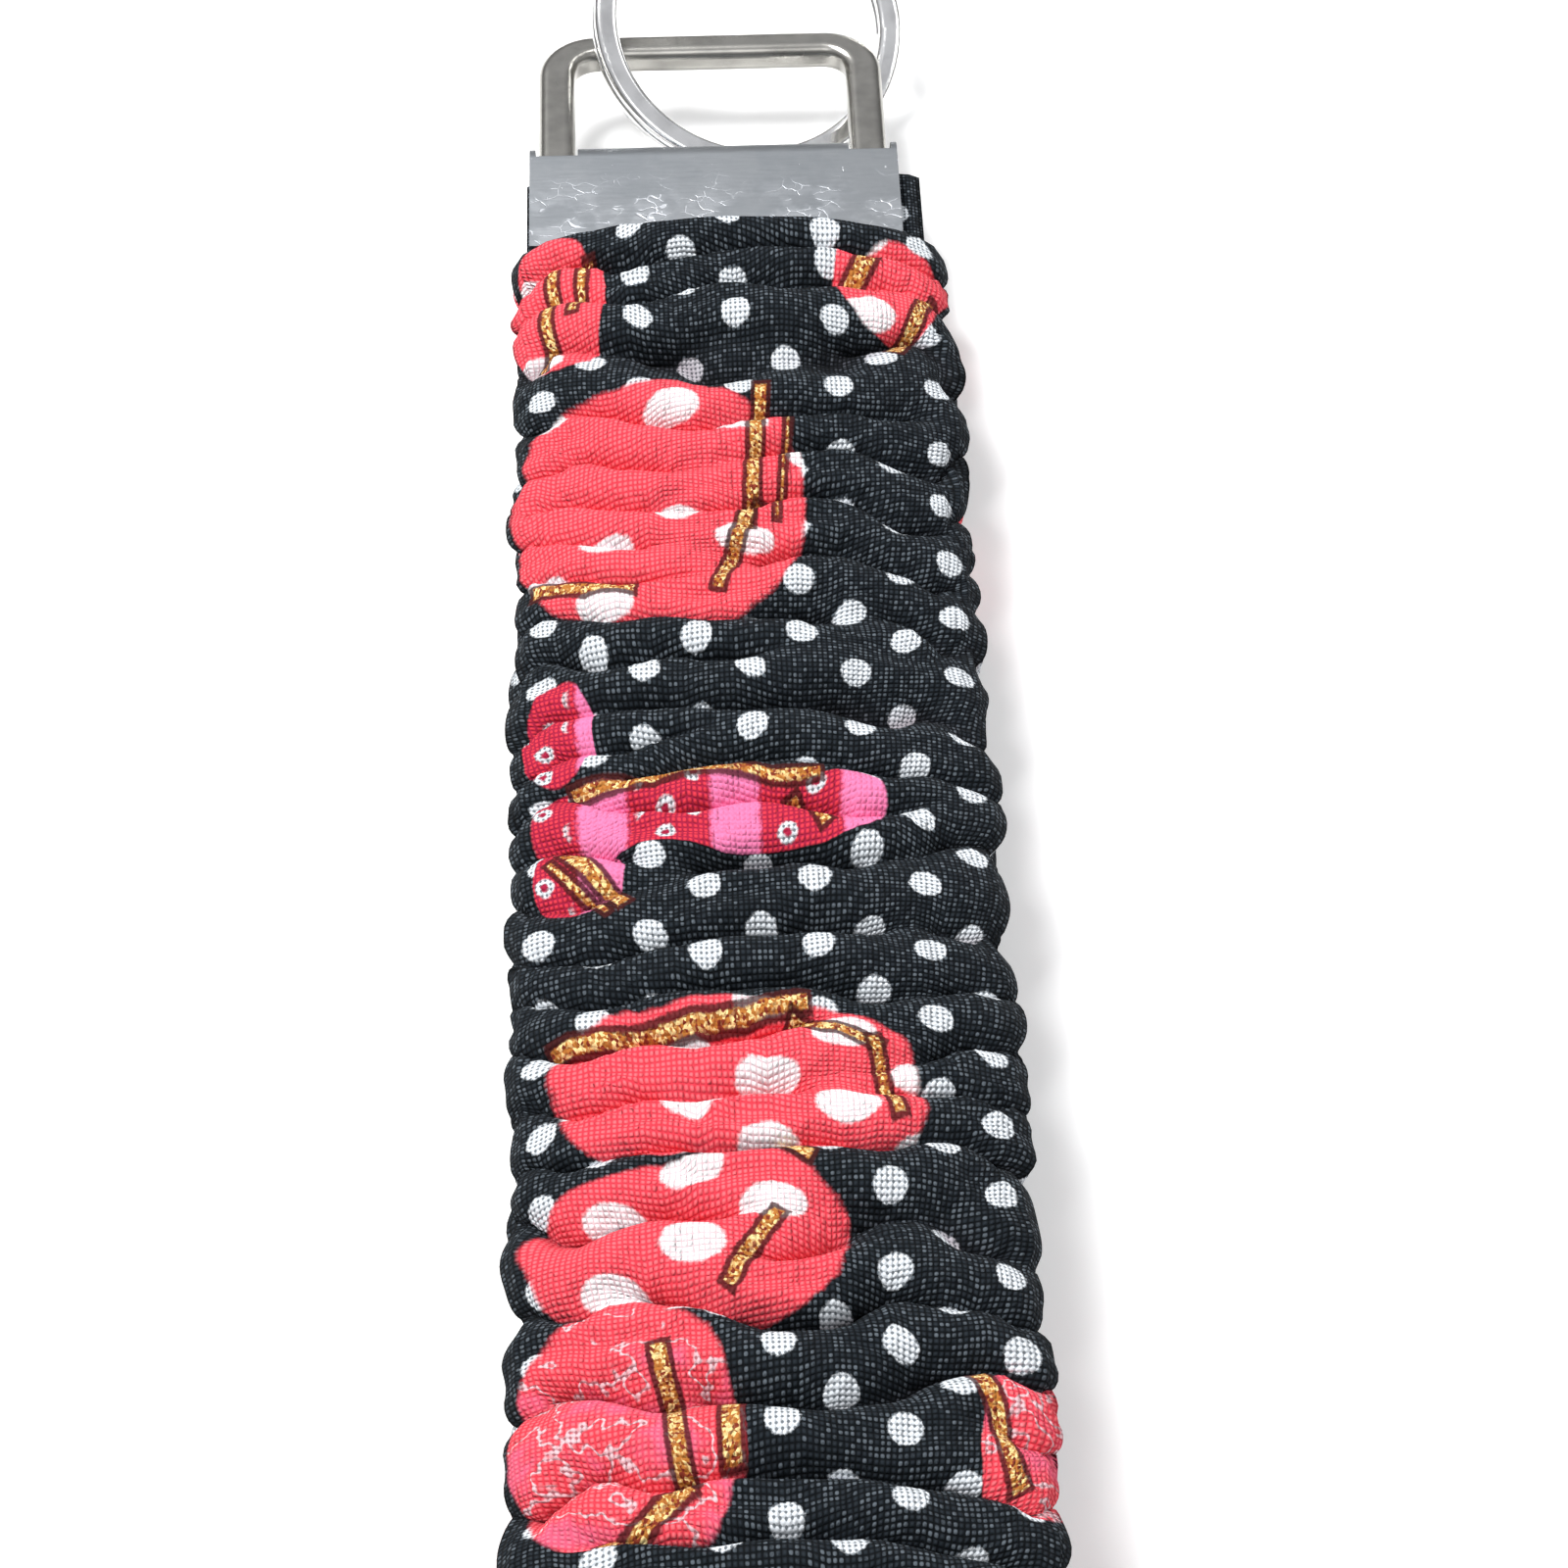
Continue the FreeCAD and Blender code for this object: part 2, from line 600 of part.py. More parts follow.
def ring_placement(lean):
    """The ring's place when its plane leans by an angle, clear of the bar where it crosses it."""
    radius = ((SIZE["ring_diameter"] - SIZE["wire_width"]) / 2).number
    stack = (SIZE["wire_thickness"] + SIZE["turn_gap"] / 2).number
    edge = SIZE["bail_edge"].number
    half_top = SIZE["bail_top"].number / 2
    half_thickness = SIZE["bail_thickness"].number / 2
    bar = math.hypot(half_top - edge, half_thickness - edge) + edge
    ahead = SIZE["ring_ahead"].number
    offset = FreeCAD.Vector(
        math.sqrt(radius**2 - ahead**2), ahead, bar + stack + SIZE["ring_clearance"].number
    )
    forward = FreeCAD.Rotation(FreeCAD.Vector(1, 0, 0), lean)
    aside = FreeCAD.Rotation(FreeCAD.Vector(0, 1, 0), SIZE["ring_side_lean"].number)
    across = BAIL_WIDTH / 2 - SIZE["bail_leg"] - SIZE["ring_inset"]
    crossing = FreeCAD.Vector(-across.number, BAR_CENTRE.number, CLAMP_LEVEL.number)
    hook = FreeCAD.Placement(crossing, forward.multiply(aside))
    return hook.multiply(FreeCAD.Placement(offset, FreeCAD.Rotation()))


def lowest_point(placement):
    upright = placement.Rotation.multVec(FreeCAD.Vector(0, 0, 1)).z
    sideways = math.sqrt(1 - upright**2)
    stack = (SIZE["wire_thickness"] + SIZE["turn_gap"] / 2).number
    return placement.Base.z - SIZE["ring_diameter"].number / 2 * sideways - stack * upright


made = [
    make_fabric_sleeve(),
    make_elastic_band(),
    make_seam_thread(),
    make_sleeve_ends(),
    make_elastic_ends(),
    make_end_stitching(),
    make_clamp_shell(),
    make_bail(),
    make_split_ring(),
]
doc.recompute()
for obj in doc.Objects:
    if {"Invalid", "Error"} & set(obj.State):
        raise RuntimeError(f"{obj.Name} did not compute: {obj.State}")
os.makedirs("parts", exist_ok=True)
for body in made:
    if body.Shape.isNull() or not body.Shape.isValid():
        raise RuntimeError(f"{body.Label} has no valid shape")
    body.Shape.exportStep(f"parts/{body.Label}.step")
    print(body.Label, len(body.Shape.Solids), round(body.Shape.Volume, 2))
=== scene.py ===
"""A wristlet keychain: a ruched cloth strap crimped in a steel clamp, with a bail and a split ring."""

import enum
import logging
import math
from dataclasses import dataclass, field

import bpy
import numpy as np
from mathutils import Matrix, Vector, noise


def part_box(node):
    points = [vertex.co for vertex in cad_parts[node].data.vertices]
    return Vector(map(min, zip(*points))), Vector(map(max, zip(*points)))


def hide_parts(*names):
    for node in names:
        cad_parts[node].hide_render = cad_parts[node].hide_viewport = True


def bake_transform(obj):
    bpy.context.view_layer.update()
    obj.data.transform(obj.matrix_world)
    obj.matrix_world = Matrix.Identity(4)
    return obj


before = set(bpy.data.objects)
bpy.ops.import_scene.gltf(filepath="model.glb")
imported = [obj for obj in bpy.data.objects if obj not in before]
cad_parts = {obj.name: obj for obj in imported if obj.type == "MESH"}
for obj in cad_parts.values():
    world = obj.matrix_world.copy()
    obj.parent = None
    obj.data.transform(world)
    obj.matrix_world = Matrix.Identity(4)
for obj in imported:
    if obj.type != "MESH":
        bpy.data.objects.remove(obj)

MM = 0.001
CLOTH_MAP = "cloth"
PRINT_MAP = "print"
# The map that holds how deep each point lies in a fold's valley, for the painted shade of the cloth.
CREASE_SHADE_MAP = "crease_shade"

Socket = bpy.types.NodeSocket
Number = bpy.types.NodeSocket | float
Colour = bpy.types.NodeSocket | tuple
Array = np.ndarray

log = logging.getLogger("wristlet")


class Weave(enum.Enum):
    """How a cloth or tape is woven or knitted."""

    PLAIN = "plain"
    RIBBED = "ribbed"


class Print(enum.Enum):
    """The kinds of patch printed on the cloth."""

    SPOTTED = "spotted"
    SPECKLED = "speckled"
    MARBLED = "marbled"


# Shader nodes.
class Bench:
    """A workbench for the nodes of one material, or of the world.

    Args:
        owner: The new material or world.
    """

    def __init__(self, owner: bpy.types.Material | bpy.types.World) -> None:
        self.owner = owner
        owner.use_nodes = True
        self.tree = owner.node_tree
        self.shader = self.tree.nodes.get("Principled BSDF")

    def node(self, kind: str, **settings) -> bpy.types.Node:
        """Adds a node with the given properties.

        Args:
            kind: The node's type name.
            settings: Properties of the node.

        Returns:
            The new node.
        """
        made = self.tree.nodes.new(kind)
        for key, value in settings.items():
            setattr(made, key, value)
        return made

    def feed(self, socket: Socket, value: Number | Colour) -> None:
        """Links a socket to another, or sets its value."""
        if isinstance(value, Socket):
            self.tree.links.new(value, socket)
        else:
            socket.default_value = value

    def math(self, operation: str, *values: Number) -> Socket:
        """A Math node.

        Args:
            operation: Its operation.
            values: Sockets or numbers for its inputs.

        Returns:
            The result's socket.
        """
        made = self.node("ShaderNodeMath", operation=operation)
        for socket, value in zip(made.inputs, values):
            self.feed(socket, value)
        return made.outputs[0]

    def vector(self, operation: str, *values: Socket | tuple) -> Socket:
        """A Vector Math node.

        Args:
            operation: Its operation.
            values: Sockets or triples for its inputs.

        Returns:
            The result's socket: a number for a length, a vector for the rest.
        """
        made = self.node("ShaderNodeVectorMath", operation=operation)
        for socket, value in zip(made.inputs, values):
            self.feed(socket, value)
        return made.outputs["Value" if operation == "LENGTH" else "Vector"]

    def times(self, first: Number, second: Number) -> Socket:
        """The product of two numbers."""
        return self.math("MULTIPLY", first, second)

    def parts(self, place: Socket) -> tuple[Socket, Socket, Socket]:
        """The three numbers of a place."""
        made = self.node("ShaderNodeSeparateXYZ")
        self.feed(made.inputs[0], place)
        return tuple(made.outputs)

    def chance(self, place: Socket) -> Socket:
        """A random number from 0 to 1 for each whole square of a place."""
        made = self.node("ShaderNodeTexWhiteNoise", noise_dimensions="2D")
        self.feed(made.inputs["Vector"], self.vector("FLOOR", place))
        return made.outputs["Value"]

    def step(self, value: Number, start: float, end: float) -> Socket:
        """A smooth step of a value, from 0 at start to 1 at end."""
        made = self.node("ShaderNodeMapRange", interpolation_type="SMOOTHSTEP")
        self.feed(made.inputs["Value"], value)
        made.inputs["From Min"].default_value = start
        made.inputs["From Max"].default_value = end
        return made.outputs[0]

    def mix(self, share: Number, first: Colour, second: Colour, blend: str = "MIX") -> Socket:
        """Mixes two colours.

        Args:
            share: How much of the second there is.
            first: A colour or its socket.
            second: A colour or its socket.
            blend: How the second is laid on the first.

        Returns:
            The mixed colour's socket.
        """
        made = self.node("ShaderNodeMix", data_type="RGBA", blend_type=blend)
        self.feed(made.inputs["Factor"], share)
        self.feed(made.inputs[6], first)
        self.feed(made.inputs[7], second)
        return made.outputs[2]

    def noise(self, place: Socket, scale: float, detail: float = 2.0, rough: float = 0.5) -> Socket:
        """Noise about 0.5 at a place.

        Args:
            place: The socket with the coordinates.
            scale: Lumps to the unit.
            detail: Octaves.
            rough: How strong the finer octaves are.

        Returns:
            The noise's socket.
        """
        made = self.node("ShaderNodeTexNoise")
        self.feed(made.inputs["Vector"], place)
        made.inputs["Scale"].default_value = scale
        made.inputs["Detail"].default_value = detail
        made.inputs["Roughness"].default_value = rough
        return made.outputs[0]

    def stretch(self, place: Socket, scale: tuple, turn: float = 0.0) -> Socket:
        """Coordinates scaled along each axis, after a turn about Z."""
        made = self.node("ShaderNodeMapping", vector_type="POINT")
        self.feed(made.inputs["Vector"], place)
        made.inputs["Scale"].default_value = scale
        made.inputs["Rotation"].default_value = (0, 0, turn)
        return made.outputs[0]

    def object_place(self) -> Socket:
        """The piece's own coordinates."""
        return self.node("ShaderNodeTexCoord").outputs["Object"]

    def cloth_place(self, name: str) -> Socket:
        """The coordinates that a map of the cloth holds, in millimetres."""
        return self.stretch(self.node("ShaderNodeUVMap", uv_map=name).outputs[0], (1000, 1000, 0))

    def bump(
        self, height: Socket, distance: float, strength: float = 1.0, under: Socket | None = None
    ) -> Socket:
        """A bump of the surface.

        Args:
            height: The height's socket, from 0 to 1.
            distance: What a height of 1 stands for, in metres.
            strength: How strong it is.
            under: A bump below it.

        Returns:
            The normal's socket.
        """
        made = self.node("ShaderNodeBump")
        self.feed(made.inputs["Height"], height)
        made.inputs["Distance"].default_value = distance
        made.inputs["Strength"].default_value = strength
        if under is not None:
            self.feed(made.inputs["Normal"], under)
        return made.outputs[0]

    def finish(self, colour: Colour, rough: Number, normal: Socket | None = None) -> bpy.types.Material:
        """Joins the last sockets to the shader and hands over the material."""
        self.feed(self.shader.inputs["Base Color"], colour)
        self.feed(self.shader.inputs["Roughness"], rough)
        if normal is not None:
            self.feed(self.shader.inputs["Normal"], normal)
        return self.owner


# Finishes.
@dataclass(frozen=True)
class SteelFinish:
    """Dull rolled steel with scratches and scuffs, as on the clamp."""

    name: str = "clamp_steel"
    colour: tuple = (0.29, 0.305, 0.32, 1)
    cloudy: tuple = (0.235, 0.25, 0.265, 1)
    scuffed: tuple = (0.78, 0.80, 0.84, 1)
    roughness: float = 0.38
    uneven_roughness: float = 0.16
    clean_y: float = 0.0845
    worn_y: float = 0.0785
    scratch_share: float = 0.55
    haze_share: float = 0.16
    warp_reach: float = 0.0022
    depth: float = 0.000012

    def make(self) -> bpy.types.Material:
        """Makes the material: the wear is near the mouth and fades out towards the fold."""
        bench = Bench(bpy.data.materials.new(self.name))
        bench.shader.inputs["Metallic"].default_value = 1.0
        place = bench.object_place()
        cloud = bench.noise(place, 190, 4, 0.6)
        grain = bench.noise(bench.stretch(place, (400, 2600, 2600)), 1.0, 3)
        blotch = bench.noise(bench.stretch(place, (1, 1, 1), 0.4), 330, 3, 0.6)
        warp = bench.node("ShaderNodeTexNoise")
        bench.feed(warp.inputs["Vector"], place)
        warp.inputs["Scale"].default_value = 420
        bent = bench.vector("MULTIPLY_ADD", warp.outputs["Color"], (self.warp_reach,) * 3, place)
        cells = bench.node("ShaderNodeTexVoronoi", feature="DISTANCE_TO_EDGE")
        bench.feed(cells.inputs["Vector"], bench.stretch(bent, (1, 1.7, 1), 0.7))
        cells.inputs["Scale"].default_value = 430
        line = bench.step(cells.outputs["Distance"], 0.036, 0.012)
        low = bench.step(bench.parts(place)[1], self.clean_y, self.worn_y)
        scratch = bench.times(bench.times(line, low), bench.step(blotch, 0.47, 0.58))
        nick = bench.step(bench.noise(bench.stretch(place, (2500, 700, 900), 0.5), 1.0, 2, 0.7), 0.66, 0.72)
        worn = bench.math("MAXIMUM", scratch, bench.times(nick, bench.step(blotch, 0.54, 0.6)))
        tint = bench.mix(bench.step(cloud, 0.35, 0.7), self.colour, self.cloudy)
        rubbed = bench.times(bench.step(blotch, 0.42, 0.62), low)
        hazed = bench.mix(bench.times(rubbed, self.haze_share), tint, self.scuffed)
        colour = bench.mix(bench.times(worn, self.scratch_share), hazed, self.scuffed)
        rough = bench.math("ADD", self.roughness, bench.times(cloud, self.uneven_roughness))
        normal = bench.bump(bench.math("ADD", grain, bench.times(worn, -2.0)), self.depth)
        return bench.finish(colour, rough, normal)


@dataclass(frozen=True)
class PlatingFinish:
    """Bright plating over wire."""

    name: str
    colour: tuple
    roughness: float
    mottle: float = 0.08

    def make(self) -> bpy.types.Material:
        """Makes the material."""
        bench = Bench(bpy.data.materials.new(self.name))
        bench.shader.inputs["Metallic"].default_value = 1.0
        place = bench.object_place()
        cloud = bench.noise(place, 320, 3)
        drawn = bench.noise(bench.stretch(place, (900, 900, 4000)), 1.0, 2)
        dull = tuple(0.72 * c for c in self.colour[:3]) + (1,)
        colour = bench.mix(bench.step(cloud, 0.35, 0.75), self.colour, dull)
        rough = bench.math("ADD", self.roughness, bench.times(cloud, self.mottle))
        return bench.finish(colour, rough, bench.bump(drawn, 0.000006))


@dataclass(frozen=True)
class TapeFinish:
    """Knitted elastic or sewing thread."""

    name: str
    colour: tuple
    weave: Weave
    pitch: float

    def make(self) -> bpy.types.Material:
        """Makes the material."""
        bench = Bench(bpy.data.materials.new(self.name))
        bench.shader.inputs["Sheen Weight"].default_value = 0.2
        bench.shader.inputs["Sheen Roughness"].default_value = 0.5
        place = bench.object_place()
        wave = bench.node("ShaderNodeTexWave", wave_type="BANDS", bands_direction="X")
        bench.feed(wave.inputs["Vector"], place)
        wave.inputs["Scale"].default_value = 0.314 / self.pitch
        wave.inputs["Distortion"].default_value = 0.6 if self.weave is Weave.RIBBED else 0.1
        shade = tuple(0.6 * c for c in self.colour[:3]) + (1,)
        colour = bench.mix(bench.step(wave.outputs["Fac"], 0.1, 0.9), shade, self.colour)
        return bench.finish(colour, 0.8, bench.bump(wave.outputs["Fac"], self.pitch / 4))


@dataclass(frozen=True)
class Patch:
    """A patch printed on the cloth, in the strap's own millimetres.

    x and y are its middle as the strap lies, half_x and half_y its reach, and square how
    square its corners are: 2 for an ellipse.
    """

    kind: Print
    x: float
    y: float
    half_x: float
    half_y: float
    square: float = 2.6
    turn: float = 0.0


@dataclass(frozen=True)
class Trim:
    """A gold band with dark edges, printed on a patch: a line from one place to another."""

    x: float
    y: float
    half_x: float
    half_y: float
    turn: float = 0.0


PATCHES = [
    Patch(Print.SPOTTED, -15.2, 64.6, 4.2, 8.6),
    Patch(Print.SPOTTED, 13.8, 66.0, 4.8, 6.2, 2.6, 0.35),
    Patch(Print.SPOTTED, -7.0, 40.3, 11.8, 12.6, 3.0),
    Patch(Print.SPECKLED, -15.0, 15.4, 2.8, 5.5),
    Patch(Print.SPECKLED, -3.6, 6.2, 13.2, 3.4, 5.0),
    Patch(Print.SPECKLED, -13.6, 0.2, 3.4, 3.4),
    Patch(Print.SPOTTED, -2.2, -20.6, 13.2, 7.0, 2.6, 0.05),
    Patch(Print.SPOTTED, -6.0, -34.4, 11.4, 6.6, 2.4, -0.08),
    Patch(Print.MARBLED, -10.6, -50.2, 8.0, 9.6, 2.4),
    Patch(Print.MARBLED, 17.2, -51.4, 3.8, 5.6),
]
TRIMS = [
    Trim(1.0, 44.6, 0.55, 8.2, 0.10),
    Trim(-0.4, 36.2, 0.55, 5.6, 0.34),
    Trim(3.4, 44.0, 0.20, 6.4, 0.12),
    Trim(-13.2, 31.0, 4.4, 0.50, 0.12),
    Trim(-15.6, 63.5, 0.5, 7.0, 0.10),
    Trim(-12.8, 66.5, 0.4, 5.0, 0.16),
    Trim(12.2, 67.6, 0.6, 4.2, 0.7),
    Trim(15.6, 61.4, 0.6, 4.6, 0.5),
    Trim(-4.6, 9.4, 9.6, 0.40, -0.03),
    Trim(4.0, 6.2, 0.5, 2.6, -0.5),
    Trim(-12.4, 0.0, 0.6, 3.8, -0.7),
    Trim(-13.5, -1.0, 0.3, 3.6, -0.7),
    Trim(-6.2, -14.8, 9.4, 0.45, -0.10),
    Trim(5.0, -16.2, 3.6, 0.45, 0.42),
    Trim(8.4, -20.0, 0.45, 3.4, -0.24),
    Trim(1.0, -27.4, 2.2, 0.50, 0.5),
    Trim(-1.4, -35.0, 0.50, 3.4, 0.6),
    Trim(-7.2, -49.4, 0.6, 6.4, -0.16),
    Trim(-3.4, -50.4, 0.7, 1.9, 0.0),
    Trim(-9.2, -57.4, 3.6, 0.55, -0.5),
    Trim(14.8, -50.4, 0.6, 4.4, -0.3),
]


@dataclass(frozen=True)
class QuiltingCotton:
    """Black quilting cotton with white pin dots and red printed patches, and painted shade in the folds'
    valleys.
    """

    start: float
    name: str = "printed_cotton"
    ground: tuple = (0.002, 0.003, 0.004, 1)
    thread_top: tuple = (0.020, 0.026, 0.033, 1)
    fleck: tuple = (0.105, 0.125, 0.145, 1)
    white: tuple = (0.74, 0.78, 0.82, 1)
    pore: tuple = (0.06, 0.075, 0.09, 1)
    coral: tuple = (0.95, 0.155, 0.18, 1)
    coral_deep: tuple = (0.72, 0.045, 0.07, 1)
    crimson: tuple = (0.36, 0.015, 0.05, 1)
    pink: tuple = (0.84, 0.20, 0.40, 1)
    chalk: tuple = (0.93, 0.92, 0.93, 1)
    blush: tuple = (0.72, 0.52, 0.55, 1)
    gold: tuple = (0.46, 0.17, 0.035, 1)
    gold_light: tuple = (0.96, 0.74, 0.33, 1)
    gold_dark: tuple = (0.22, 0.035, 0.018, 1)
    outline: tuple = (0.055, 0.010, 0.010, 1)
    # Painted shade: the cloth's colour is multiplied towards this grey in the folds' valleys.
    crease_shade_tint: tuple = (0.50, 0.43, 0.45, 1)
    margin: float = 10.0
    run: float = 144.0
    half_round: float = 19.6
    dot_pitch: float = 8.2
    dot_radius: float = 1.2
    spot_pitch: float = 9.0
    spot_radius: float = 1.85
    spots_printed: float = 0.5
    ring_pitch: float = 4.6
    thread_pitch: float = 0.40

    def centred(self, bench: Bench, place: Socket, spot: Patch | Trim) -> Socket:
        """A place as measured from a patch's or trim's middle, along its own sides."""
        return bench.stretch(bench.vector("SUBTRACT", place, (spot.x, spot.y, 0)), (1, 1, 1), spot.turn)

    def reach(self, bench: Bench, place: Socket, patch: Patch) -> Socket:
        """How far a place is from a patch's middle: 1 at its edge.

        Args:
            bench: The material's workbench.
            place: The cloth's coordinates, in the strap's millimetres.
            patch: The patch.

        Returns:
            The socket of the reach.
        """
        scaled = bench.vector("DIVIDE", self.centred(bench, place, patch), (patch.half_x, patch.half_y, 1))
        across, along = (
            bench.math("POWER", bench.math("ABSOLUTE", side), patch.square) for side in bench.parts(scaled)[:2]
        )
        return bench.math("ADD", across, along)

    def beyond(self, bench: Bench, place: Socket, trim: Trim) -> Socket:
        """How far a place is outside a trim's edge, in millimetres: negative inside.

        Args:
            bench: The material's workbench.
            place: The cloth's coordinates, in the strap's millimetres.
            trim: The trim.

        Returns:
            The socket of the distance.
        """
        sides = bench.parts(self.centred(bench, place, trim))
        across = bench.math("SUBTRACT", bench.math("ABSOLUTE", sides[0]), trim.half_x)
        along = bench.math("SUBTRACT", bench.math("ABSOLUTE", sides[1]), trim.half_y)
        return bench.math("MAXIMUM", across, along)

    def dots(
        self, bench: Bench, place: Socket, pitch: float, radius: float, blur: float, ragged: Socket,
        kept: float = 1.0,
    ) -> Socket:
        """Round dots on a lattice turned by an eighth.

        Args:
            bench: The material's workbench.
            place: The cloth's coordinates in millimetres.
            pitch: The distance between dots of a row.
            radius: A dot's radius.
            blur: The width of its edge.
            ragged: A socket that moves the edge.
            kept: The share of the dots that is printed.

        Returns:
            The socket of the dots, 1 inside them.
        """
        side = pitch / math.sqrt(2)
        turned = bench.stretch(place, (1 / side, 1 / side, 0), math.pi / 4)
        middle = bench.vector("SUBTRACT", bench.vector("FRACTION", turned), (0.5, 0.5, 0))
        away = bench.math("ADD", bench.times(bench.vector("LENGTH", middle), side), ragged)
        spot = bench.step(away, radius + blur, radius - blur)
        if kept == 1.0:
            return spot
        return bench.times(spot, bench.math("LESS_THAN", bench.chance(turned), kept))

    def make(self) -> bpy.types.Material:
        """Makes the material."""
        bench = Bench(bpy.data.materials.new(self.name))
        bench.shader.inputs["Sheen Weight"].default_value = 0.015
        bench.shader.inputs["Sheen Roughness"].default_value = 0.5
        bench.shader.inputs["Specular IOR Level"].default_value = 0.08
        cloth = bench.cloth_place(CLOTH_MAP)
        threads = bench.stretch(cloth, (1 / self.thread_pitch, 1 / self.thread_pitch, 0))
        waves = [bench.math("SINE", bench.times(side, math.pi)) for side in bench.parts(threads)[:2]]
        across, along = (bench.math("ABSOLUTE", wave) for wave in waves)
        yarn = bench.times(across, along)
        gap = bench.times(bench.math("SUBTRACT", 1.0, across), bench.math("SUBTRACT", 1.0, along))
        speck = bench.noise(cloth, 2.2, 4, 0.75)
        slub = bench.noise(bench.stretch(cloth, (0.35, 2.6, 0)), 1.0, 3, 0.6)

        ragged = bench.times(bench.math("SUBTRACT", speck, 0.5), 0.6)
        base = bench.mix(yarn, self.ground, self.thread_top)
        bare = bench.math("ADD", bench.chance(threads), bench.math("SUBTRACT", speck, 0.5))
        salt = bench.times(bench.step(bare, 0.35, 0.95), bench.step(yarn, 0.3, 0.75))
        black = bench.mix(salt, base, self.fleck)
        dotted = self.dots(bench, cloth, self.dot_pitch, self.dot_radius, 0.10, ragged)
        holes = bench.times(bench.step(gap, 0.06, 0.34), 0.85)
        paper = bench.mix(holes, self.white, self.pore)
        colour = bench.mix(dotted, black, paper)
        strap = self.strap_place(bench)
        colour = self.print_patches(bench, colour, strap, cloth, ragged, yarn, paper)
        # Painted shade: the colour darkens in the folds' valleys, the more the deeper each point lies, as the
        # sleeve's builder stores it in its own map.
        crease_shade = bench.parts(bench.node("ShaderNodeUVMap", uv_map=CREASE_SHADE_MAP).outputs[0])[0]
        colour = bench.mix(bench.step(crease_shade, 0.40, 1.05), colour, self.crease_shade_tint, "MULTIPLY")
        height = bench.math("ADD", bench.times(yarn, 0.7), bench.times(slub, 0.5))
        weave = bench.bump(height, 0.00014, 1.0)
        crease = bench.noise(bench.stretch(cloth, (0.30, 0.16, 0)), 1.0, 4, 0.6)
        normal = bench.bump(crease, 0.0016, 0.8, weave)
        return bench.finish(colour, 0.88, normal)

    def strap_place(self, bench: Bench) -> Socket:
        """The place on the strap in millimetres, as if the gathers were let out.

        The print comes again on the strap's other side and beyond its first run.
        """
        sides = bench.parts(bench.cloth_place(PRINT_MAP))
        top = self.start + self.margin
        along = bench.math("WRAP", bench.math("SUBTRACT", self.start, sides[1]), top, top - self.run)
        across = bench.math("WRAP", sides[0], self.half_round, -self.half_round)
        both = bench.node("ShaderNodeCombineXYZ")
        bench.feed(both.inputs[0], across)
        bench.feed(both.inputs[1], along)
        return both.outputs[0]

    def print_patches(
        self, bench: Bench, colour: Socket, strap: Socket, cloth: Socket, ragged: Socket, yarn: Socket,
        paper: Socket,
    ) -> Socket:
        """Prints every patch and trim over the dotted ground.

        Args:
            bench: The material's workbench.
            colour: The ground's colour.
            strap: The place on the strap, in millimetres.
            cloth: The place on the flat cloth, in millimetres.
            ragged: The raggedness of printed edges.
            yarn: The height of the threads.
            paper: The white of the spots.

        Returns:
            The printed colour's socket.
        """
        wobble = bench.times(bench.math("SUBTRACT", bench.noise(cloth, 0.16, 2), 0.5), 0.5)
        grain = bench.math("ADD", wobble, bench.times(ragged, 0.2))
        shade = bench.mix(bench.step(yarn, 0.1, 0.9), self.coral_deep, self.coral)
        oval = bench.stretch(cloth, (0.8, 1.15, 0))
        spots = self.dots(bench, oval, self.spot_pitch, self.spot_radius, 0.16, ragged, self.spots_printed)
        chalky = bench.mix(bench.step(yarn, 0.0, 0.5), self.blush, self.chalk)
        skins = {
            Print.SPOTTED: bench.mix(spots, shade, chalky),
            Print.SPECKLED: self.speckled(bench, cloth, ragged, yarn, paper),
            Print.MARBLED: self.marbled(bench, cloth, shade, paper),
        }
        for patch in PATCHES:
            reach = bench.math("ADD", self.reach(bench, strap, patch), grain)
            colour = bench.mix(bench.step(reach, 1.08, 0.96), colour, skins[patch.kind])
        glitter = bench.node("ShaderNodeTexVoronoi", feature="F1")
        bench.feed(glitter.inputs["Vector"], cloth)
        glitter.inputs["Scale"].default_value = 4.4
        flake = bench.node("ShaderNodeSeparateColor")
        bench.feed(flake.inputs[0], glitter.outputs["Color"])
        lit = bench.math("ADD", flake.outputs[0], bench.times(ragged, 1.6))
        gold = bench.mix(bench.step(lit, 0.42, 0.85), self.gold, self.gold_light)
        gold = bench.mix(bench.step(flake.outputs[1], 0.34, 0.16), gold, self.gold_dark)
        for trim in TRIMS:
            edge = bench.math("ADD", self.beyond(bench, strap, trim), bench.times(ragged, 0.6))
            drawn = bench.times(bench.step(edge, 0.36, 0.20), 0.9)
            colour = bench.mix(drawn, colour, self.outline)
            colour = bench.mix(bench.step(edge, -0.02, -0.18), colour, gold)
        return colour

    def speckled(self, bench: Bench, cloth: Socket, ragged: Socket, yarn: Socket, paper: Socket) -> Socket:
        """Crimson with pink blocks and small white rings."""
        base = bench.mix(bench.step(yarn, 0.1, 0.9), self.crimson, self.coral_deep)
        shifted = bench.math("ADD", bench.parts(cloth)[0], 1.6)
        frayed = bench.math("ADD", shifted, bench.times(ragged, 2.0))
        stripe = bench.math("PINGPONG", frayed, 5.0)
        block = bench.mix(bench.step(stripe, 2.1, 1.6), base, self.pink)
        between = bench.step(stripe, 2.3, 2.9)
        ring = self.dots(bench, cloth, self.ring_pitch, 0.75, 0.12, ragged)
        core = self.dots(bench, cloth, self.ring_pitch, 0.32, 0.1, ragged)
        ringed = bench.mix(bench.times(ring, between), block, paper)
        return bench.mix(bench.times(core, between), ringed, self.crimson)

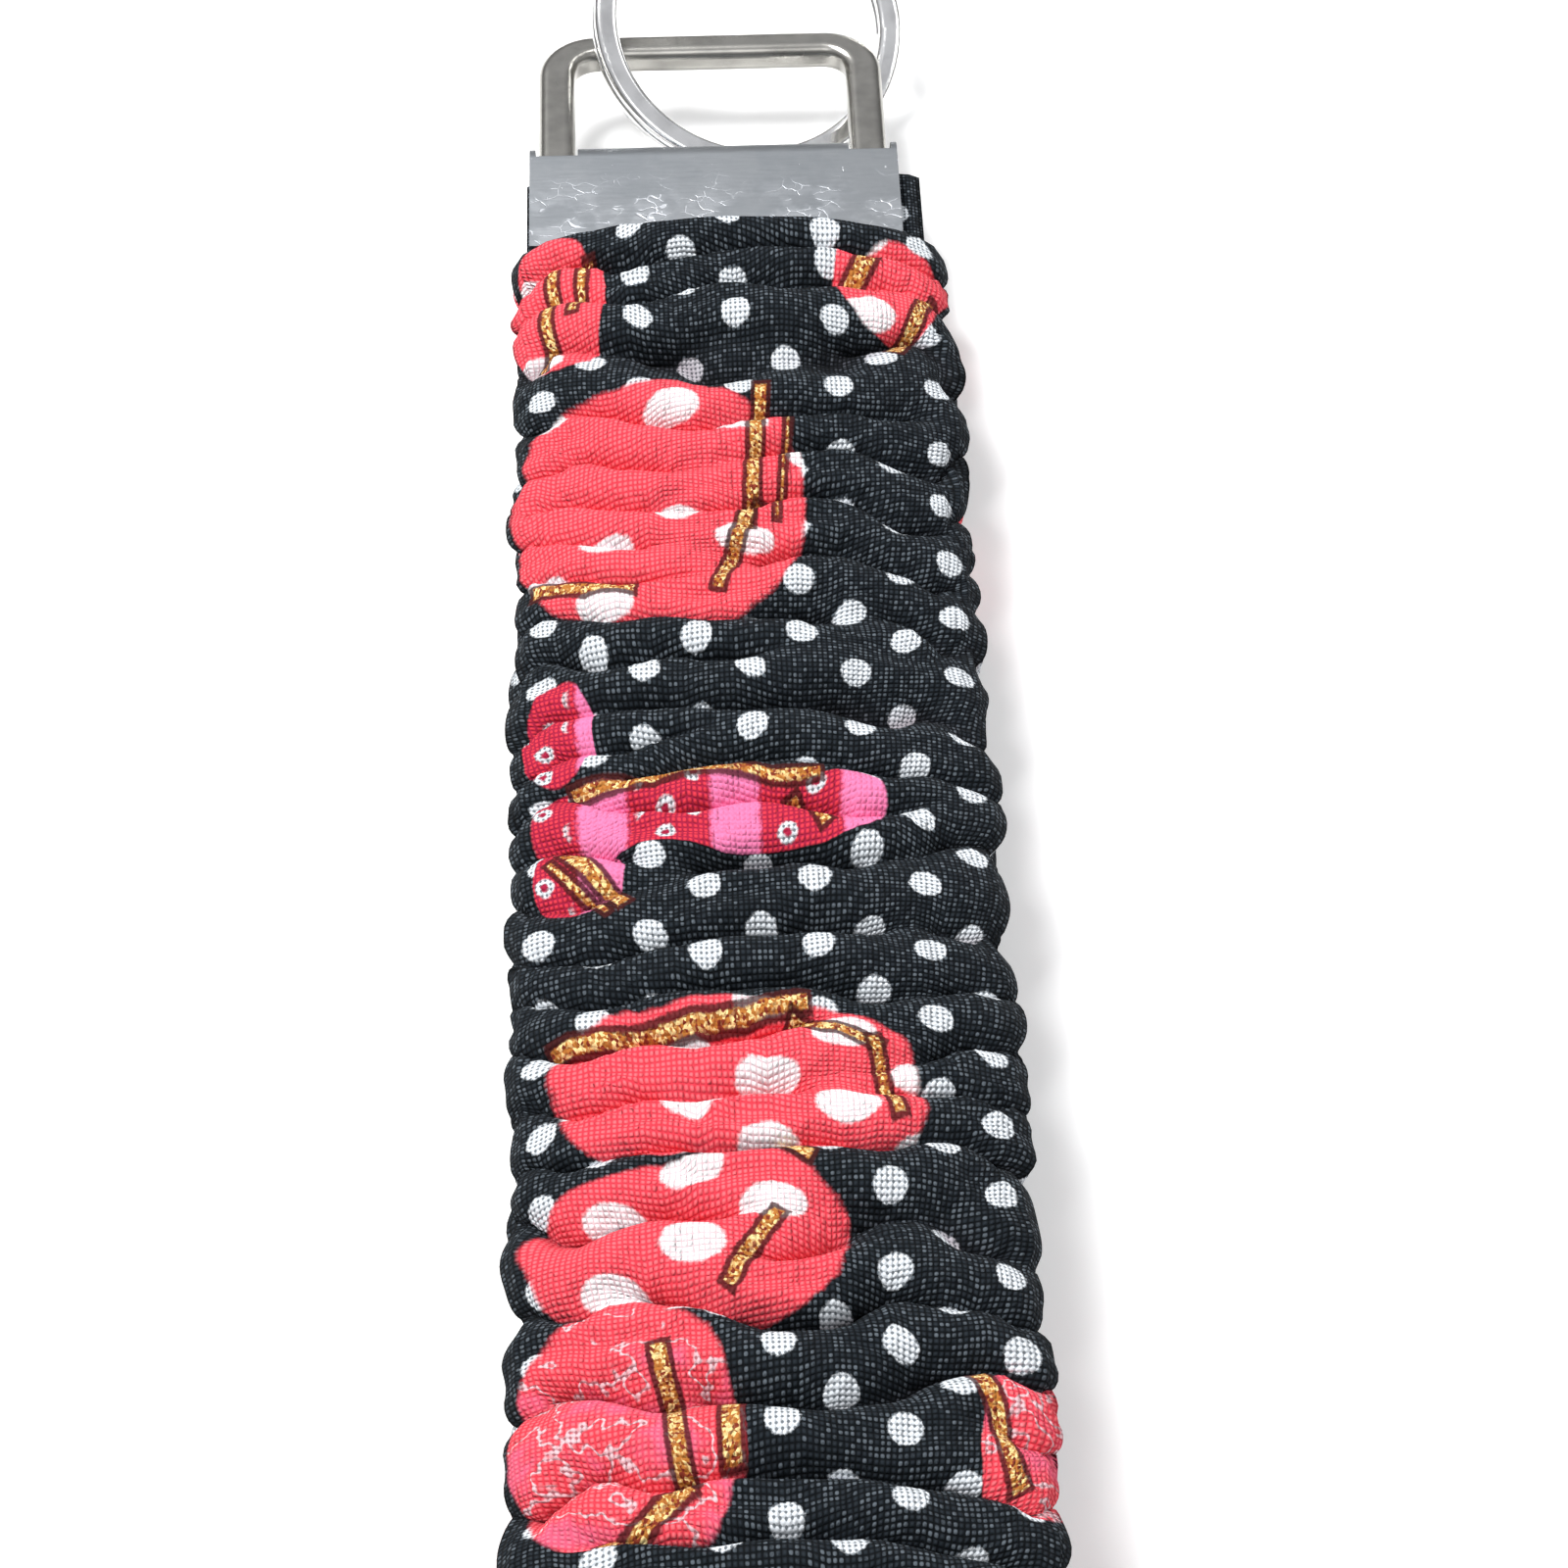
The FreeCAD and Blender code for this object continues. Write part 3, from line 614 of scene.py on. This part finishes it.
    def marbled(self, bench: Bench, cloth: Socket, shade: Socket, paper: Socket) -> Socket:
        """Coral with wandering light lines."""
        cloud = bench.noise(cloth, 0.17, 3, 0.6)
        level = bench.math("FRACT", bench.times(cloud, 5.0))
        line = bench.math("ABSOLUTE", bench.math("SUBTRACT", level, 0.5))
        pinked = bench.mix(bench.times(bench.step(cloud, 0.5, 0.66), 0.35), shade, self.pink)
        return bench.mix(bench.times(bench.step(line, 0.085, 0.02), 0.6), pinked, paper)


# The strap.
def smooth(value: Array | float, start: float, end: float) -> Array:
    """A smooth step from 0 at start to 1 at end, of a number or an array."""
    share = np.clip((np.asarray(value, float) - start) / (end - start), 0, 1)
    return share * share * (3 - 2 * share)


@dataclass
class StrapLine:
    """The line that the middle of the cloth tube follows, in millimetres.

    It runs from the upper crimped end, away from the clamp, round the far bend and back
    under itself to the lower crimped end. Each corner that follows the mouth is given as its
    distance from the mouth and its radius.
    """

    step: float = 0.2
    feel: float = 0.4
    clamp_level: float = 6.4
    ends_apart: float = 1.44
    nose_apart: float = 2.0
    nose: tuple = ((3.0, 6.0), (6.0, 10.0))
    shoulder: tuple = (13.0, 12.0)
    rise: tuple = (40.0, 120.0)
    bend_top: float = 17.3
    bend_radius: float = 6.6
    half_band: float = 0.6
    ends_y: float = field(init=False)
    mouth_y: float = field(init=False)
    far_y: float = field(init=False)
    low_z: float = field(init=False)

    def __post_init__(self) -> None:
        """Reads the places of the ends and the bend from the frame and lays out the line."""
        ends_low, ends_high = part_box("sleeve_ends")
        elastic_low, elastic_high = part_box("elastic_band")
        self.ends_y = ends_high.y / MM
        self.mouth_y = ends_low.y / MM
        self.low_z = elastic_low.z / MM + self.half_band
        self.far_y = elastic_low.y / MM + self.half_band
        top_z = 2 * self.clamp_level - self.low_z
        upper = self.clamp_level + self.nose_apart / 2
        lower = self.clamp_level - self.nose_apart / 2
        corners = [
            (self.ends_y, self.clamp_level + self.ends_apart / 2, None),
            *((self.mouth_y - away, upper, radius) for away, radius in self.nose),
            (self.mouth_y - self.shoulder[0], top_z, self.shoulder[1]),
            (self.mouth_y - self.rise[0], top_z, self.rise[1]),
            (self.far_y, self.bend_top, self.bend_radius),
            (self.far_y, self.low_z, self.bend_radius),
            (self.mouth_y - self.shoulder[0], self.low_z, self.shoulder[1]),
            *((self.mouth_y - away, lower, radius) for away, radius in reversed(self.nose)),
            (self.ends_y, self.clamp_level - self.ends_apart / 2, None),
        ]
        self.places = self.rounded(corners)
        legs = np.linalg.norm(np.diff(self.places, axis=0), axis=1)
        self.along = np.concatenate([[0], np.cumsum(legs)])
        self.length = self.along[-1]
        self.first_mouth = self.ends_y - self.mouth_y
        self.last_mouth = self.length - self.first_mouth

    def rounded(self, corners: list) -> Array:
        """Points along straight runs between rounded corners.

        Args:
            corners: (y, z, radius) of each corner.

        Returns:
            The points, closely spaced.
        """
        points = [np.array(corners[0][:2])]
        for before, corner, after in zip(corners, corners[1:], corners[2:]):
            place = np.array(corner[:2])
            inward = np.array(before[:2]) - place
            outward = np.array(after[:2]) - place
            inward /= np.linalg.norm(inward)
            outward /= np.linalg.norm(outward)
            half = math.acos(np.clip(inward @ outward, -1, 1)) / 2
            if half > math.pi / 2 - 1e-4:
                points.append(place)
                continue
            room = 0.49 * min(math.dist(before[:2], place), math.dist(after[:2], place))
            cut = min(corner[2] / math.tan(half), room)
            radius = cut * math.tan(half)
            middle = (inward + outward) / np.linalg.norm(inward + outward)
            centre = place + middle * radius / math.sin(half)
            start = place + inward * cut - centre
            end = place + outward * cut - centre
            turn = math.pi - 2 * half
            for share in np.linspace(0, 1, 24):
                weights = math.sin((1 - share) * turn), math.sin(share * turn)
                points.append(centre + (start * weights[0] + end * weights[1]) / math.sin(turn))
        points.append(np.array(corners[-1][:2]))
        points = np.array(points)
        legs = np.concatenate([[0], np.cumsum(np.linalg.norm(np.diff(points, axis=0), axis=1))])
        spaced = np.arange(0, legs[-1], self.step)
        line = np.stack([np.interp(spaced, legs, points[:, i]) for i in (0, 1)], axis=1)
        return np.concatenate([line, points[-1:]])

    def place(self, along: Array) -> Array:
        """The y and the z at distances along the line."""
        return np.stack([np.interp(along, self.along, self.places[:, i]) for i in (0, 1)])

    def at(self, along: Array) -> tuple[Array, Array, Array, Array]:
        """The place and the outward direction at distances along the line.

        Args:
            along: Distances, an array.

        Returns:
            y, z, and the outward y and z, arrays of the same shape.
        """
        here = np.clip(along, 0, self.length)
        y, z = self.place(here)
        ahead = np.clip(here + self.feel, 0, self.length)
        behind = np.clip(here - self.feel, 0, self.length)
        run_y, run_z = self.place(ahead) - self.place(behind)
        size = np.hypot(run_y, run_z)
        y = y + (along - here) * run_y / size
        z = z + (along - here) * run_z / size
        return y, z, run_z / size, -run_y / size


@dataclass(frozen=True)
class Lumps:
    """Smooth noise over the tube that joins up after a full turn.

    The lumps are `round_tube` times finer than the turn's own radius and come `to_fold` to a
    fold; `seat` moves them, so that each kind of unevenness has its own.
    """

    round_tube: float
    to_fold: float
    seat: tuple = (0, 0, 0)

    def over(self, turn: Array, row: Array) -> Array:
        """The noise at every row and column, about -1 to 1."""
        x, y, z = self.seat
        angles = [2 * math.pi * share for share in turn]
        sides = [Vector((math.cos(angle), math.sin(angle), 0)) * self.round_tube for angle in angles]
        seats = [Vector((x, y, fold * self.to_fold + z)) for fold in row]
        return np.array([[noise.noise(side + seat) for side in sides] for seat in seats])


@dataclass
class RuchedSleeve:
    """The cloth tube gathered over the elastic, with both its ends flat in the clamp.

    Sizes are in millimetres. Around the tube there are `around` columns of points, and each
    fold has `per_fold` rows.
    """

    line: StrapLine
    around: int = 60
    per_fold: int = 16
    fold_pitch: float = 6.2
    crown: float = 4.1
    valley: float = 0.95
    valley_half_width: float = 17.2
    crest_half_width: float = 18.4
    crest_square: float = 2.05
    end_half_width: float = 16.8
    pinch: float = 0.84
    drift: float = 1.3
    stray: float = 0.9
    end_rows: int = 12
    cloth_thickness: float = 0.28
    seed: int = 12

    def junctions(self, folds: int) -> list[tuple[float, float, int]]:
        """Places where one fold becomes two, and where two become one again.

        Args:
            folds: How many folds there are.

        Returns:
            (round the tube, along it, sign) of each.
        """
        dice = np.random.default_rng(self.seed)
        found = []
        for place in np.arange(3.2, folds - 3, 1.2):
            where = place + dice.uniform(-0.4, 0.4)
            first = dice.uniform(-0.5, 0.5)
            apart = dice.uniform(0.16, 0.42)
            sign = dice.choice([-1, 1])
            found += [(first, where, sign), (first + apart, where + dice.uniform(-0.6, 0.6), -sign)]
        return found

    def phase(self, turn: Array, row: Array, folds: int) -> tuple[Array, Array]:
        """The fold count at each point, and how deep its fold is.

        Args:
            turn: How far round the tube each column is, from 0 to 1.
            row: The even fold count of each row.
            folds: How many folds there are.

        Returns:
            The fold count and the depth, from 0 to 1, as arrays of rows by columns.
        """
        around = 75.0
        u, w = np.meshgrid(turn, row)
        count = w.copy()
        depth = np.ones_like(w)
        for first, where, sign in self.junctions(folds):
            angle = math.pi * (u - first)
            rise = math.pi * (w - where) * self.fold_pitch / around
            real = np.sin(angle) * np.cosh(np.clip(rise, -20, 20))
            imaginary = np.cos(angle) * np.sinh(np.clip(rise, -20, 20))
            count += sign * np.arctan2(imaginary, real) / (2 * math.pi)
            beside = np.abs((u - first + 0.5) % 1 - 0.5) * around
            away = np.hypot(beside / 2.4, (w - where) * self.fold_pitch / 1.9)
            depth *= 1 - 0.85 * np.exp(-away**2)
        calm = np.clip(np.minimum(row, folds - row), 0, 1)[:, None]
        uneven = Lumps(0.0, 0.55, (3.7, 1.3, 0)).over(turn, row)
        broad = Lumps(1.7, 0.40).over(turn, row)
        fine = Lumps(3.4, 0.9, (0, 0, 40)).over(turn, row)
        count += calm * (0.55 * uneven + 0.44 * broad + 0.18 * fine)
        filled = Lumps(2.2, 0.7, (9, 4, 0)).over(turn, row)
        depth *= np.clip(0.92 + 1.1 * filled, 0.28, 1.0)
        return count, np.clip(depth, 0.05, 1.0)

    def pleats(self, turn: Array, row: Array) -> Array:
        """Where a fold's crown is creased into two small ones, from 0 to 1."""
        return np.clip(2.4 * Lumps(1.4, 0.55, (2, 8, 0)).over(turn, row) + 0.1, 0, 1)

    def crumple(self, turn: Array, row: Array) -> Array:
        """Small creases that run across the folds' crowns, from 0 to about 1."""
        ridge = np.abs(Lumps(2.6, 2.3, (0, 0, 7)).over(turn, row))
        high = Lumps(1.5, 0.8, (5, 0, 0)).over(turn, row)
        return np.maximum(1 - 5.5 * ridge, 0) ** 2 * np.clip(0.5 + 1.6 * high, 0, 1)

    def wander(self, turn: Array, row: Array) -> Array:
        """How far each side edge strays outwards or inwards, in millimetres."""
        lean = np.sin(2 * math.pi * turn)
        found = np.zeros((len(row), len(turn)))
        for side in (-1, 1):
            broad = Lumps(0.0, 0.8, (side * 5.0, 2.2, 0)).over(turn, row)
            fine = Lumps(0.0, 2.3, (side * 5.0, 7.2, 0)).over(turn, row)
            edge = self.stray * broad + 0.5 * self.stray * fine
            found += np.where(lean * side > 0, side * lean**4, 0) * edge
        return found

    def section(
        self, turn: Array, half_width: Array, outer: Array, inner: Array, square: float
    ) -> tuple[Array, Array]:
        """A rounded flat section of the tube.

        Args:
            turn: How far round each column is.
            half_width: Half its width at each row.
            outer: Its reach outwards at each row.
            inner: Its reach inwards at each row.
            square: How square its corners are.

        Returns:
            Across and outward places, as arrays of rows by columns.
        """
        angle = 2 * math.pi * turn
        lean = np.sin(angle)
        rise = np.cos(angle)
        across = np.sign(lean) * np.abs(lean) ** (2 / square)
        up = np.sign(rise) * np.abs(rise) ** (2 / square)
        reach = np.where(up > 0, outer[:, None], inner[:, None])
        return half_width[:, None] * across, reach * up

    def columns(self) -> Array:
        """Where the columns stand round the tube, evenly spaced on a full fold.

        Returns:
            Shares of a turn from -0.5 to 0.5, with 0 in the middle of the outer face.
        """
        fine = np.linspace(-0.5, 0.5, 4001)
        ones = np.array([1.0])
        width = ones * self.crest_half_width
        x, n = self.section(fine, width, ones * 3.6, ones * 3.1, self.crest_square)
        legs = np.hypot(np.diff(x[0]), np.diff(n[0]))
        girth = np.concatenate([[0], np.cumsum(legs)])
        self.girth = girth[-1]
        self.flat_across = (np.arange(self.around + 1) / self.around - 0.5) * self.girth
        even = np.arange(self.around) / self.around * self.girth
        return np.interp(even, girth, fine)

    def reaches(self, along: Array) -> dict[str, Array]:
        """The sizes of the tube's sections along the strap.

        Args:
            along: Distances along the strap's line.

        Returns:
            Arrays by name.
        """
        line = self.line
        y, z, _, out_z = line.at(along)
        inside = np.minimum(along - line.first_mouth, line.last_mouth - along)
        free = smooth(inside, -0.4, 2.2)
        upper = out_z > 0.35
        lower = out_z < -0.35
        nose = smooth(y, line.mouth_y - 16, line.mouth_y - 4)
        crown = self.crown + nose * 2.2 - 0.4 * smooth(inside, 4, 0)
        outer = np.where(upper, crown, np.where(lower, z - 0.33, 3.4))
        away = smooth(y, line.mouth_y - 34, line.mouth_y - 44)
        facing = np.where(upper, z - line.clamp_level - 0.15, line.clamp_level - 0.15 - z)
        inner = np.where(upper | lower, np.clip(facing, 0.7, 3.1), 2.3)
        inner = np.where(upper, inner + away * (3.3 - inner), inner)
        blur = np.ones(9) / 9
        outer = np.convolve(np.pad(outer, 4, mode="edge"), blur, mode="valid")
        inner = np.convolve(np.pad(inner, 4, mode="edge"), blur, mode="valid")
        flat = 0.62
        return {
            "free": free,
            "outer": flat + free * (outer - flat),
            "inner": flat + free * (inner - flat),
            "valley": flat + free * (self.valley - flat),
            "valley_inner": np.minimum(flat + free * (self.valley - flat), flat + free * (inner - flat)),
            "crest_width": self.end_half_width + free * (self.crest_half_width - self.end_half_width),
            "valley_width": self.end_half_width + free * (self.valley_half_width - self.end_half_width),
            "shift": 0.8 + (self.drift - 0.8) * smooth(inside, 0, 14),
        }

    def unrolled(self, points: Array) -> tuple[Array, Array]:
        """How far along the flat cloth each point is.

        Args:
            points: The points, as rows by columns by 3.

        Returns:
            The mean of each row, and how far each point is ahead of it from one fold to the
            next: what builds up over many folds is let go.
        """
        legs = np.linalg.norm(np.diff(points, axis=0), axis=2)
        used = np.concatenate([np.zeros((1, self.around)), np.cumsum(legs, axis=0)])
        used -= used[self.end_rows][None, :]
        mean = used.mean(axis=1, keepdims=True)
        shear = used - mean
        window = 2 * self.per_fold + 1
        padded = np.pad(shear, ((self.per_fold, self.per_fold), (0, 0)), mode="edge")
        sums = np.cumsum(np.vstack([np.zeros((1, self.around)), padded]), axis=0)
        return mean, shear - (sums[window:] - sums[:-window]) / window

    def shape(self) -> tuple[Array, Array, Array]:
        """Works out every point of the tube.

        Returns:
            The points in metres, as rows by columns by 3, and how far along the flat cloth and
            along the strap each one is.
        """
        line = self.line
        folds = round((line.last_mouth - line.first_mouth) / self.fold_pitch)
        pitch = (line.last_mouth - line.first_mouth) / folds
        before = np.arange(-self.end_rows, 0) * line.first_mouth / pitch / self.end_rows
        free_rows = np.arange(folds * self.per_fold + 1) / self.per_fold
        row = np.concatenate([before, free_rows, folds - before[::-1]])
        turn = self.columns()
        count, depth = self.phase(turn, row, folds)
        along = line.first_mouth + row * pitch
        sizes = self.reaches(along)
        free = sizes["free"][:, None]
        height = ((1 - np.cos(2 * math.pi * count)) / 2) ** 0.75
        dent = np.maximum(np.cos(4 * math.pi * count), 0) * self.pleats(turn, row)
        height = height * (1 - 0.34 * dent)
        height = free * (0.92 * (1 - depth) + depth * height - 0.13 * self.crumple(turn, row))
        slide = -self.pinch * pitch / (2 * math.pi) * np.sin(2 * math.pi * count) * free * depth
        crest_x, crest_n = self.section(
            turn, sizes["crest_width"], sizes["outer"], sizes["inner"], self.crest_square
        )
        valley_x, valley_n = self.section(
            turn, sizes["valley_width"], sizes["valley"], sizes["valley_inner"], self.crest_square
        )
        x = valley_x + height * (crest_x - valley_x) + sizes["shift"][:, None]
        x += free * self.wander(turn, row)
        out = valley_n + height * (crest_n - valley_n)
        y, z, out_y, out_z = line.at(along[:, None] + slide)
        points = np.stack([x, y + out * out_y, z + out * out_z], axis=2)
        mean, shear = self.unrolled(points)
        free_cloth = mean[-self.end_rows - 1, 0] - mean[self.end_rows, 0]
        gather = free_cloth / (line.last_mouth - line.first_mouth)
        self.cloth_length = mean[-1, 0] - mean[0, 0]
        log.info("sleeve: %d folds, gathered %.2f times", folds, gather)
        # How deep each point lies in its fold's valley, kept for the painted shade in the cloth's colour.
        self.crease_shade = np.clip(1 - height, 0, 1) * free
        return points * MM, mean + shear, row[:, None] * pitch + shear / gather

    def build(self) -> bpy.types.Object:
        """Makes the tube's mesh, gives it its flat coordinates, a map for the painted shade in its valleys,
        and its thickness.

        Returns:
            The sleeve.
        """
        points, used, strap = self.shape()
        rows = len(points)
        columns = self.around
        faces = []
        flat = []
        printed = []
        crease_shade = []
        for i in range(rows - 1):
            for j in range(columns):
                k = (j + 1) % columns
                left, right = self.flat_across[j], self.flat_across[j + 1]
                corners = ((left, i, j), (right, i, k), (right, i + 1, k), (left, i + 1, j))
                faces.append(tuple(a * columns + b for _, a, b in corners))
                flat += [(across, used[a, b]) for across, a, b in corners]
                printed += [(across, strap[a, b]) for across, a, b in corners]
                crease_shade += [(self.crease_shade[a, b] / MM, 0) for _, a, b in corners]
        mesh = bpy.data.meshes.new("fabric_tube")
        mesh.from_pydata(points.reshape(-1, 3).tolist(), [], faces)
        for name, places in ((CLOTH_MAP, flat), (PRINT_MAP, printed), (CREASE_SHADE_MAP, crease_shade)):
            layer = mesh.uv_layers.new(name=name)
            layer.data.foreach_set("uv", (np.array(places) * MM).ravel())
        mesh.shade_smooth()
        sleeve = bpy.data.objects.new("fabric_tube", mesh)
        bpy.context.scene.collection.objects.link(sleeve)
        apply_modifier(sleeve, "SOLIDIFY", thickness=self.cloth_thickness * MM, offset=-1.0)
        return sleeve

    def dress(self, sleeve: bpy.types.Object) -> None:
        """Gives the sleeve its cloth and its place in the frame, and logs the size of its cut."""
        finish = QuiltingCotton(start=self.line.mouth_y)
        sleeve.data.materials.append(finish.make())
        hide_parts("fabric_sleeve", "sleeve_ends")
        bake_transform(sleeve)
        log.info("sleeve: cut %.1f by %.0f mm", self.girth, self.cloth_length)


# Shared modelling steps.
def apply_modifier(piece: bpy.types.Object, kind: str, **settings) -> None:
    """Adds a modifier to a piece and applies it.

    Args:
        piece: The piece.
        kind: The modifier's type.
        settings: Its properties.
    """
    bpy.ops.object.select_all(action="DESELECT")
    bpy.context.view_layer.objects.active = piece
    piece.select_set(True)
    modifier = piece.modifiers.new(kind.lower(), kind)
    for key, value in settings.items():
        setattr(modifier, key, value)
    bpy.ops.object.modifier_apply(modifier=modifier.name)
    piece.select_set(False)


def dress_node(name: str, material: bpy.types.Material) -> None:
    """Puts a material in every slot of a CAD node.

    Args:
        name: The node's name.
        material: Its new material.
    """
    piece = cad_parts[name]
    if not piece.material_slots:
        piece.data.materials.append(material)
    for slot in piece.material_slots:
        slot.material = material
    log.info("%s: %s", name, material.name)


@dataclass
class Strap:
    """The cloth sleeve, the elastic inside it and their threads."""

    def build(self) -> None:
        """Builds the sleeve and dresses what it hides."""
        sleeve = RuchedSleeve(StrapLine())
        sleeve.dress(sleeve.build())
        elastic = TapeFinish("knitted_elastic", (0.80, 0.80, 0.78, 1), Weave.RIBBED, 0.0011).make()
        thread = TapeFinish("black_thread", (0.02, 0.02, 0.022, 1), Weave.PLAIN, 0.0003).make()
        for name in ("elastic_band", "elastic_ends"):
            dress_node(name, elastic)
        for name in ("seam_thread", "end_stitching"):
            dress_node(name, thread)


@dataclass
class Hardware:
    """The clamp, the bail and the split ring."""

    def build(self) -> None:
        """Dresses the three metal pieces."""
        dress_node("clamp_shell", SteelFinish().make())
        dress_node("bail", PlatingFinish("bail_nickel", (0.42, 0.41, 0.38, 1), 0.22).make())
        dress_node("split_ring", PlatingFinish("ring_nickel", (0.86, 0.86, 0.855, 1), 0.14).make())


@dataclass(frozen=True)
class Lamp:
    """A square soft lamp: its place and its side in metres, its power in watts."""

    name: str
    place: tuple[float, float, float]
    size: float
    power: float


LAMPS = [
    Lamp("key", (-0.32, 0.30, 0.72), 0.32, 9.4),
    Lamp("near", (-0.10, -0.40, 0.72), 0.4, 0.8),
    Lamp("right", (0.62, 0.06, 0.48), 0.5, 1.8),
]


@dataclass
class Studio:
    """The pale floor, the soft lamps and the camera.

    The floor glows faintly under the strap, and fully beyond it, from `glow_from` to
    `glow_to` metres away. The camera's elevation and heading are in degrees.
    """

    floor_half: float = 3.0
    floor_glow: float = 0.30
    glow_from: float = 0.25
    glow_to: float = 1.2
    sky_light: float = 0.30
    sky_in_metal: float = 0.34
    elevation: float = 50.0
    heading: float = 2.0
    distance: float = 0.34948
    sensor: float = 36.0
    lens: float = 103.5
    target: tuple = (0.003716, 0.016425, 0.0064)

    def floor(self) -> None:
        """A plain white floor, with light that only the camera and reflections see."""
        bpy.ops.mesh.primitive_plane_add(size=2 * self.floor_half, location=(0, 0, 0))
        plane = bpy.context.object
        plane.name = "floor"
        bench = Bench(bpy.data.materials.new("floor_white"))
        bench.shader.inputs["Specular IOR Level"].default_value = 0.0
        rays = bench.node("ShaderNodeLightPath")
        seen = bench.math("MAXIMUM", rays.outputs["Is Camera Ray"], rays.outputs["Is Glossy Ray"])
        bench.feed(bench.shader.inputs["Emission Color"], (1, 1, 1, 1))
        away = bench.vector("LENGTH", bench.object_place())
        beyond = bench.step(away, self.glow_from, self.glow_to)
        far = bench.times(beyond, 1 - self.floor_glow)
        glow = bench.times(seen, bench.math("ADD", far, self.floor_glow))
        bench.feed(bench.shader.inputs["Emission Strength"], glow)
        plane.data.materials.append(bench.finish((0.90, 0.90, 0.90, 1), 1.0))

    def hang(self, lamp: Lamp) -> None:
        """Hangs a lamp so that it points at the strap."""
        light = bpy.data.lights.new(lamp.name, "AREA")
        light.energy = lamp.power
        light.size = lamp.size
        hung = bpy.data.objects.new(lamp.name, light)
        bpy.context.scene.collection.objects.link(hung)
        hung.location = lamp.place
        aim = Vector(self.target) - Vector(lamp.place)
        hung.rotation_euler = aim.to_track_quat("-Z", "Y").to_euler()

    def world(self) -> None:
        """A plain pale room."""
        world = bpy.data.worlds.new("room")
        bpy.context.scene.world = world
        bench = Bench(world)
        sky = bench.tree.nodes["Background"]
        ramp = bench.node("ShaderNodeValToRGB")
        direction = bench.node("ShaderNodeTexCoord").outputs["Generated"]
        bench.feed(ramp.inputs[0], bench.parts(direction)[2])
        low, high = ramp.color_ramp.elements
        low.position, low.color = 0.02, (0.06, 0.05, 0.04, 1)
        high.position, high.color = 0.75, (0.95, 0.96, 1.0, 1)
        bench.feed(sky.inputs[0], ramp.outputs[0])
        rays = bench.node("ShaderNodeLightPath")
        glossy = rays.outputs["Is Glossy Ray"]
        bench.feed(sky.inputs[1], bench.math("MULTIPLY_ADD", glossy, self.sky_in_metal, self.sky_light))
        backdrop = bench.node("ShaderNodeBackground")
        bench.feed(backdrop.inputs[0], (1, 1, 1, 1))
        seen = bench.node("ShaderNodeMixShader")
        for socket, value in zip(seen.inputs, (rays.outputs[0], sky.outputs[0], backdrop.outputs[0])):
            bench.feed(socket, value)
        bench.feed(bench.tree.nodes["World Output"].inputs[0], seen.outputs[0])

    def camera(self) -> None:
        """A camera above the strap's far end, at the viewing angle."""
        eye = bpy.data.cameras.new("camera")
        eye.sensor_width = self.sensor
        eye.lens = self.lens
        eye.clip_start = 0.01
        camera = bpy.data.objects.new("camera", eye)
        bpy.context.scene.collection.objects.link(camera)
        tilt, turn = math.radians(self.elevation), math.radians(self.heading)
        level = math.cos(tilt)
        look = Vector((math.sin(turn) * level, math.cos(turn) * level, -math.sin(tilt)))
        camera.location = Vector(self.target) - look * self.distance
        camera.rotation_euler = look.to_track_quat("-Z", "Y").to_euler()
        bpy.context.scene.camera = camera

    def build(self) -> None:
        """Sets the stage."""
        self.floor()
        for lamp in LAMPS:
            self.hang(lamp)
        self.world()
        self.camera()
        bpy.context.scene.view_settings.view_transform = "Standard"
        log.info("stage is set")


def corners(box: tuple[Vector, Vector]) -> list[list[float]]:
    """A box's corners as plain lists."""
    return [[float(value) for value in corner] for corner in box]


def main() -> None:
    """Builds the model in order."""
    logging.basicConfig(level=logging.INFO, format="%(message)s")
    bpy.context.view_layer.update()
    Strap().build()
    Hardware().build()
    Studio().build()


if __name__ == "__main__":
    main()
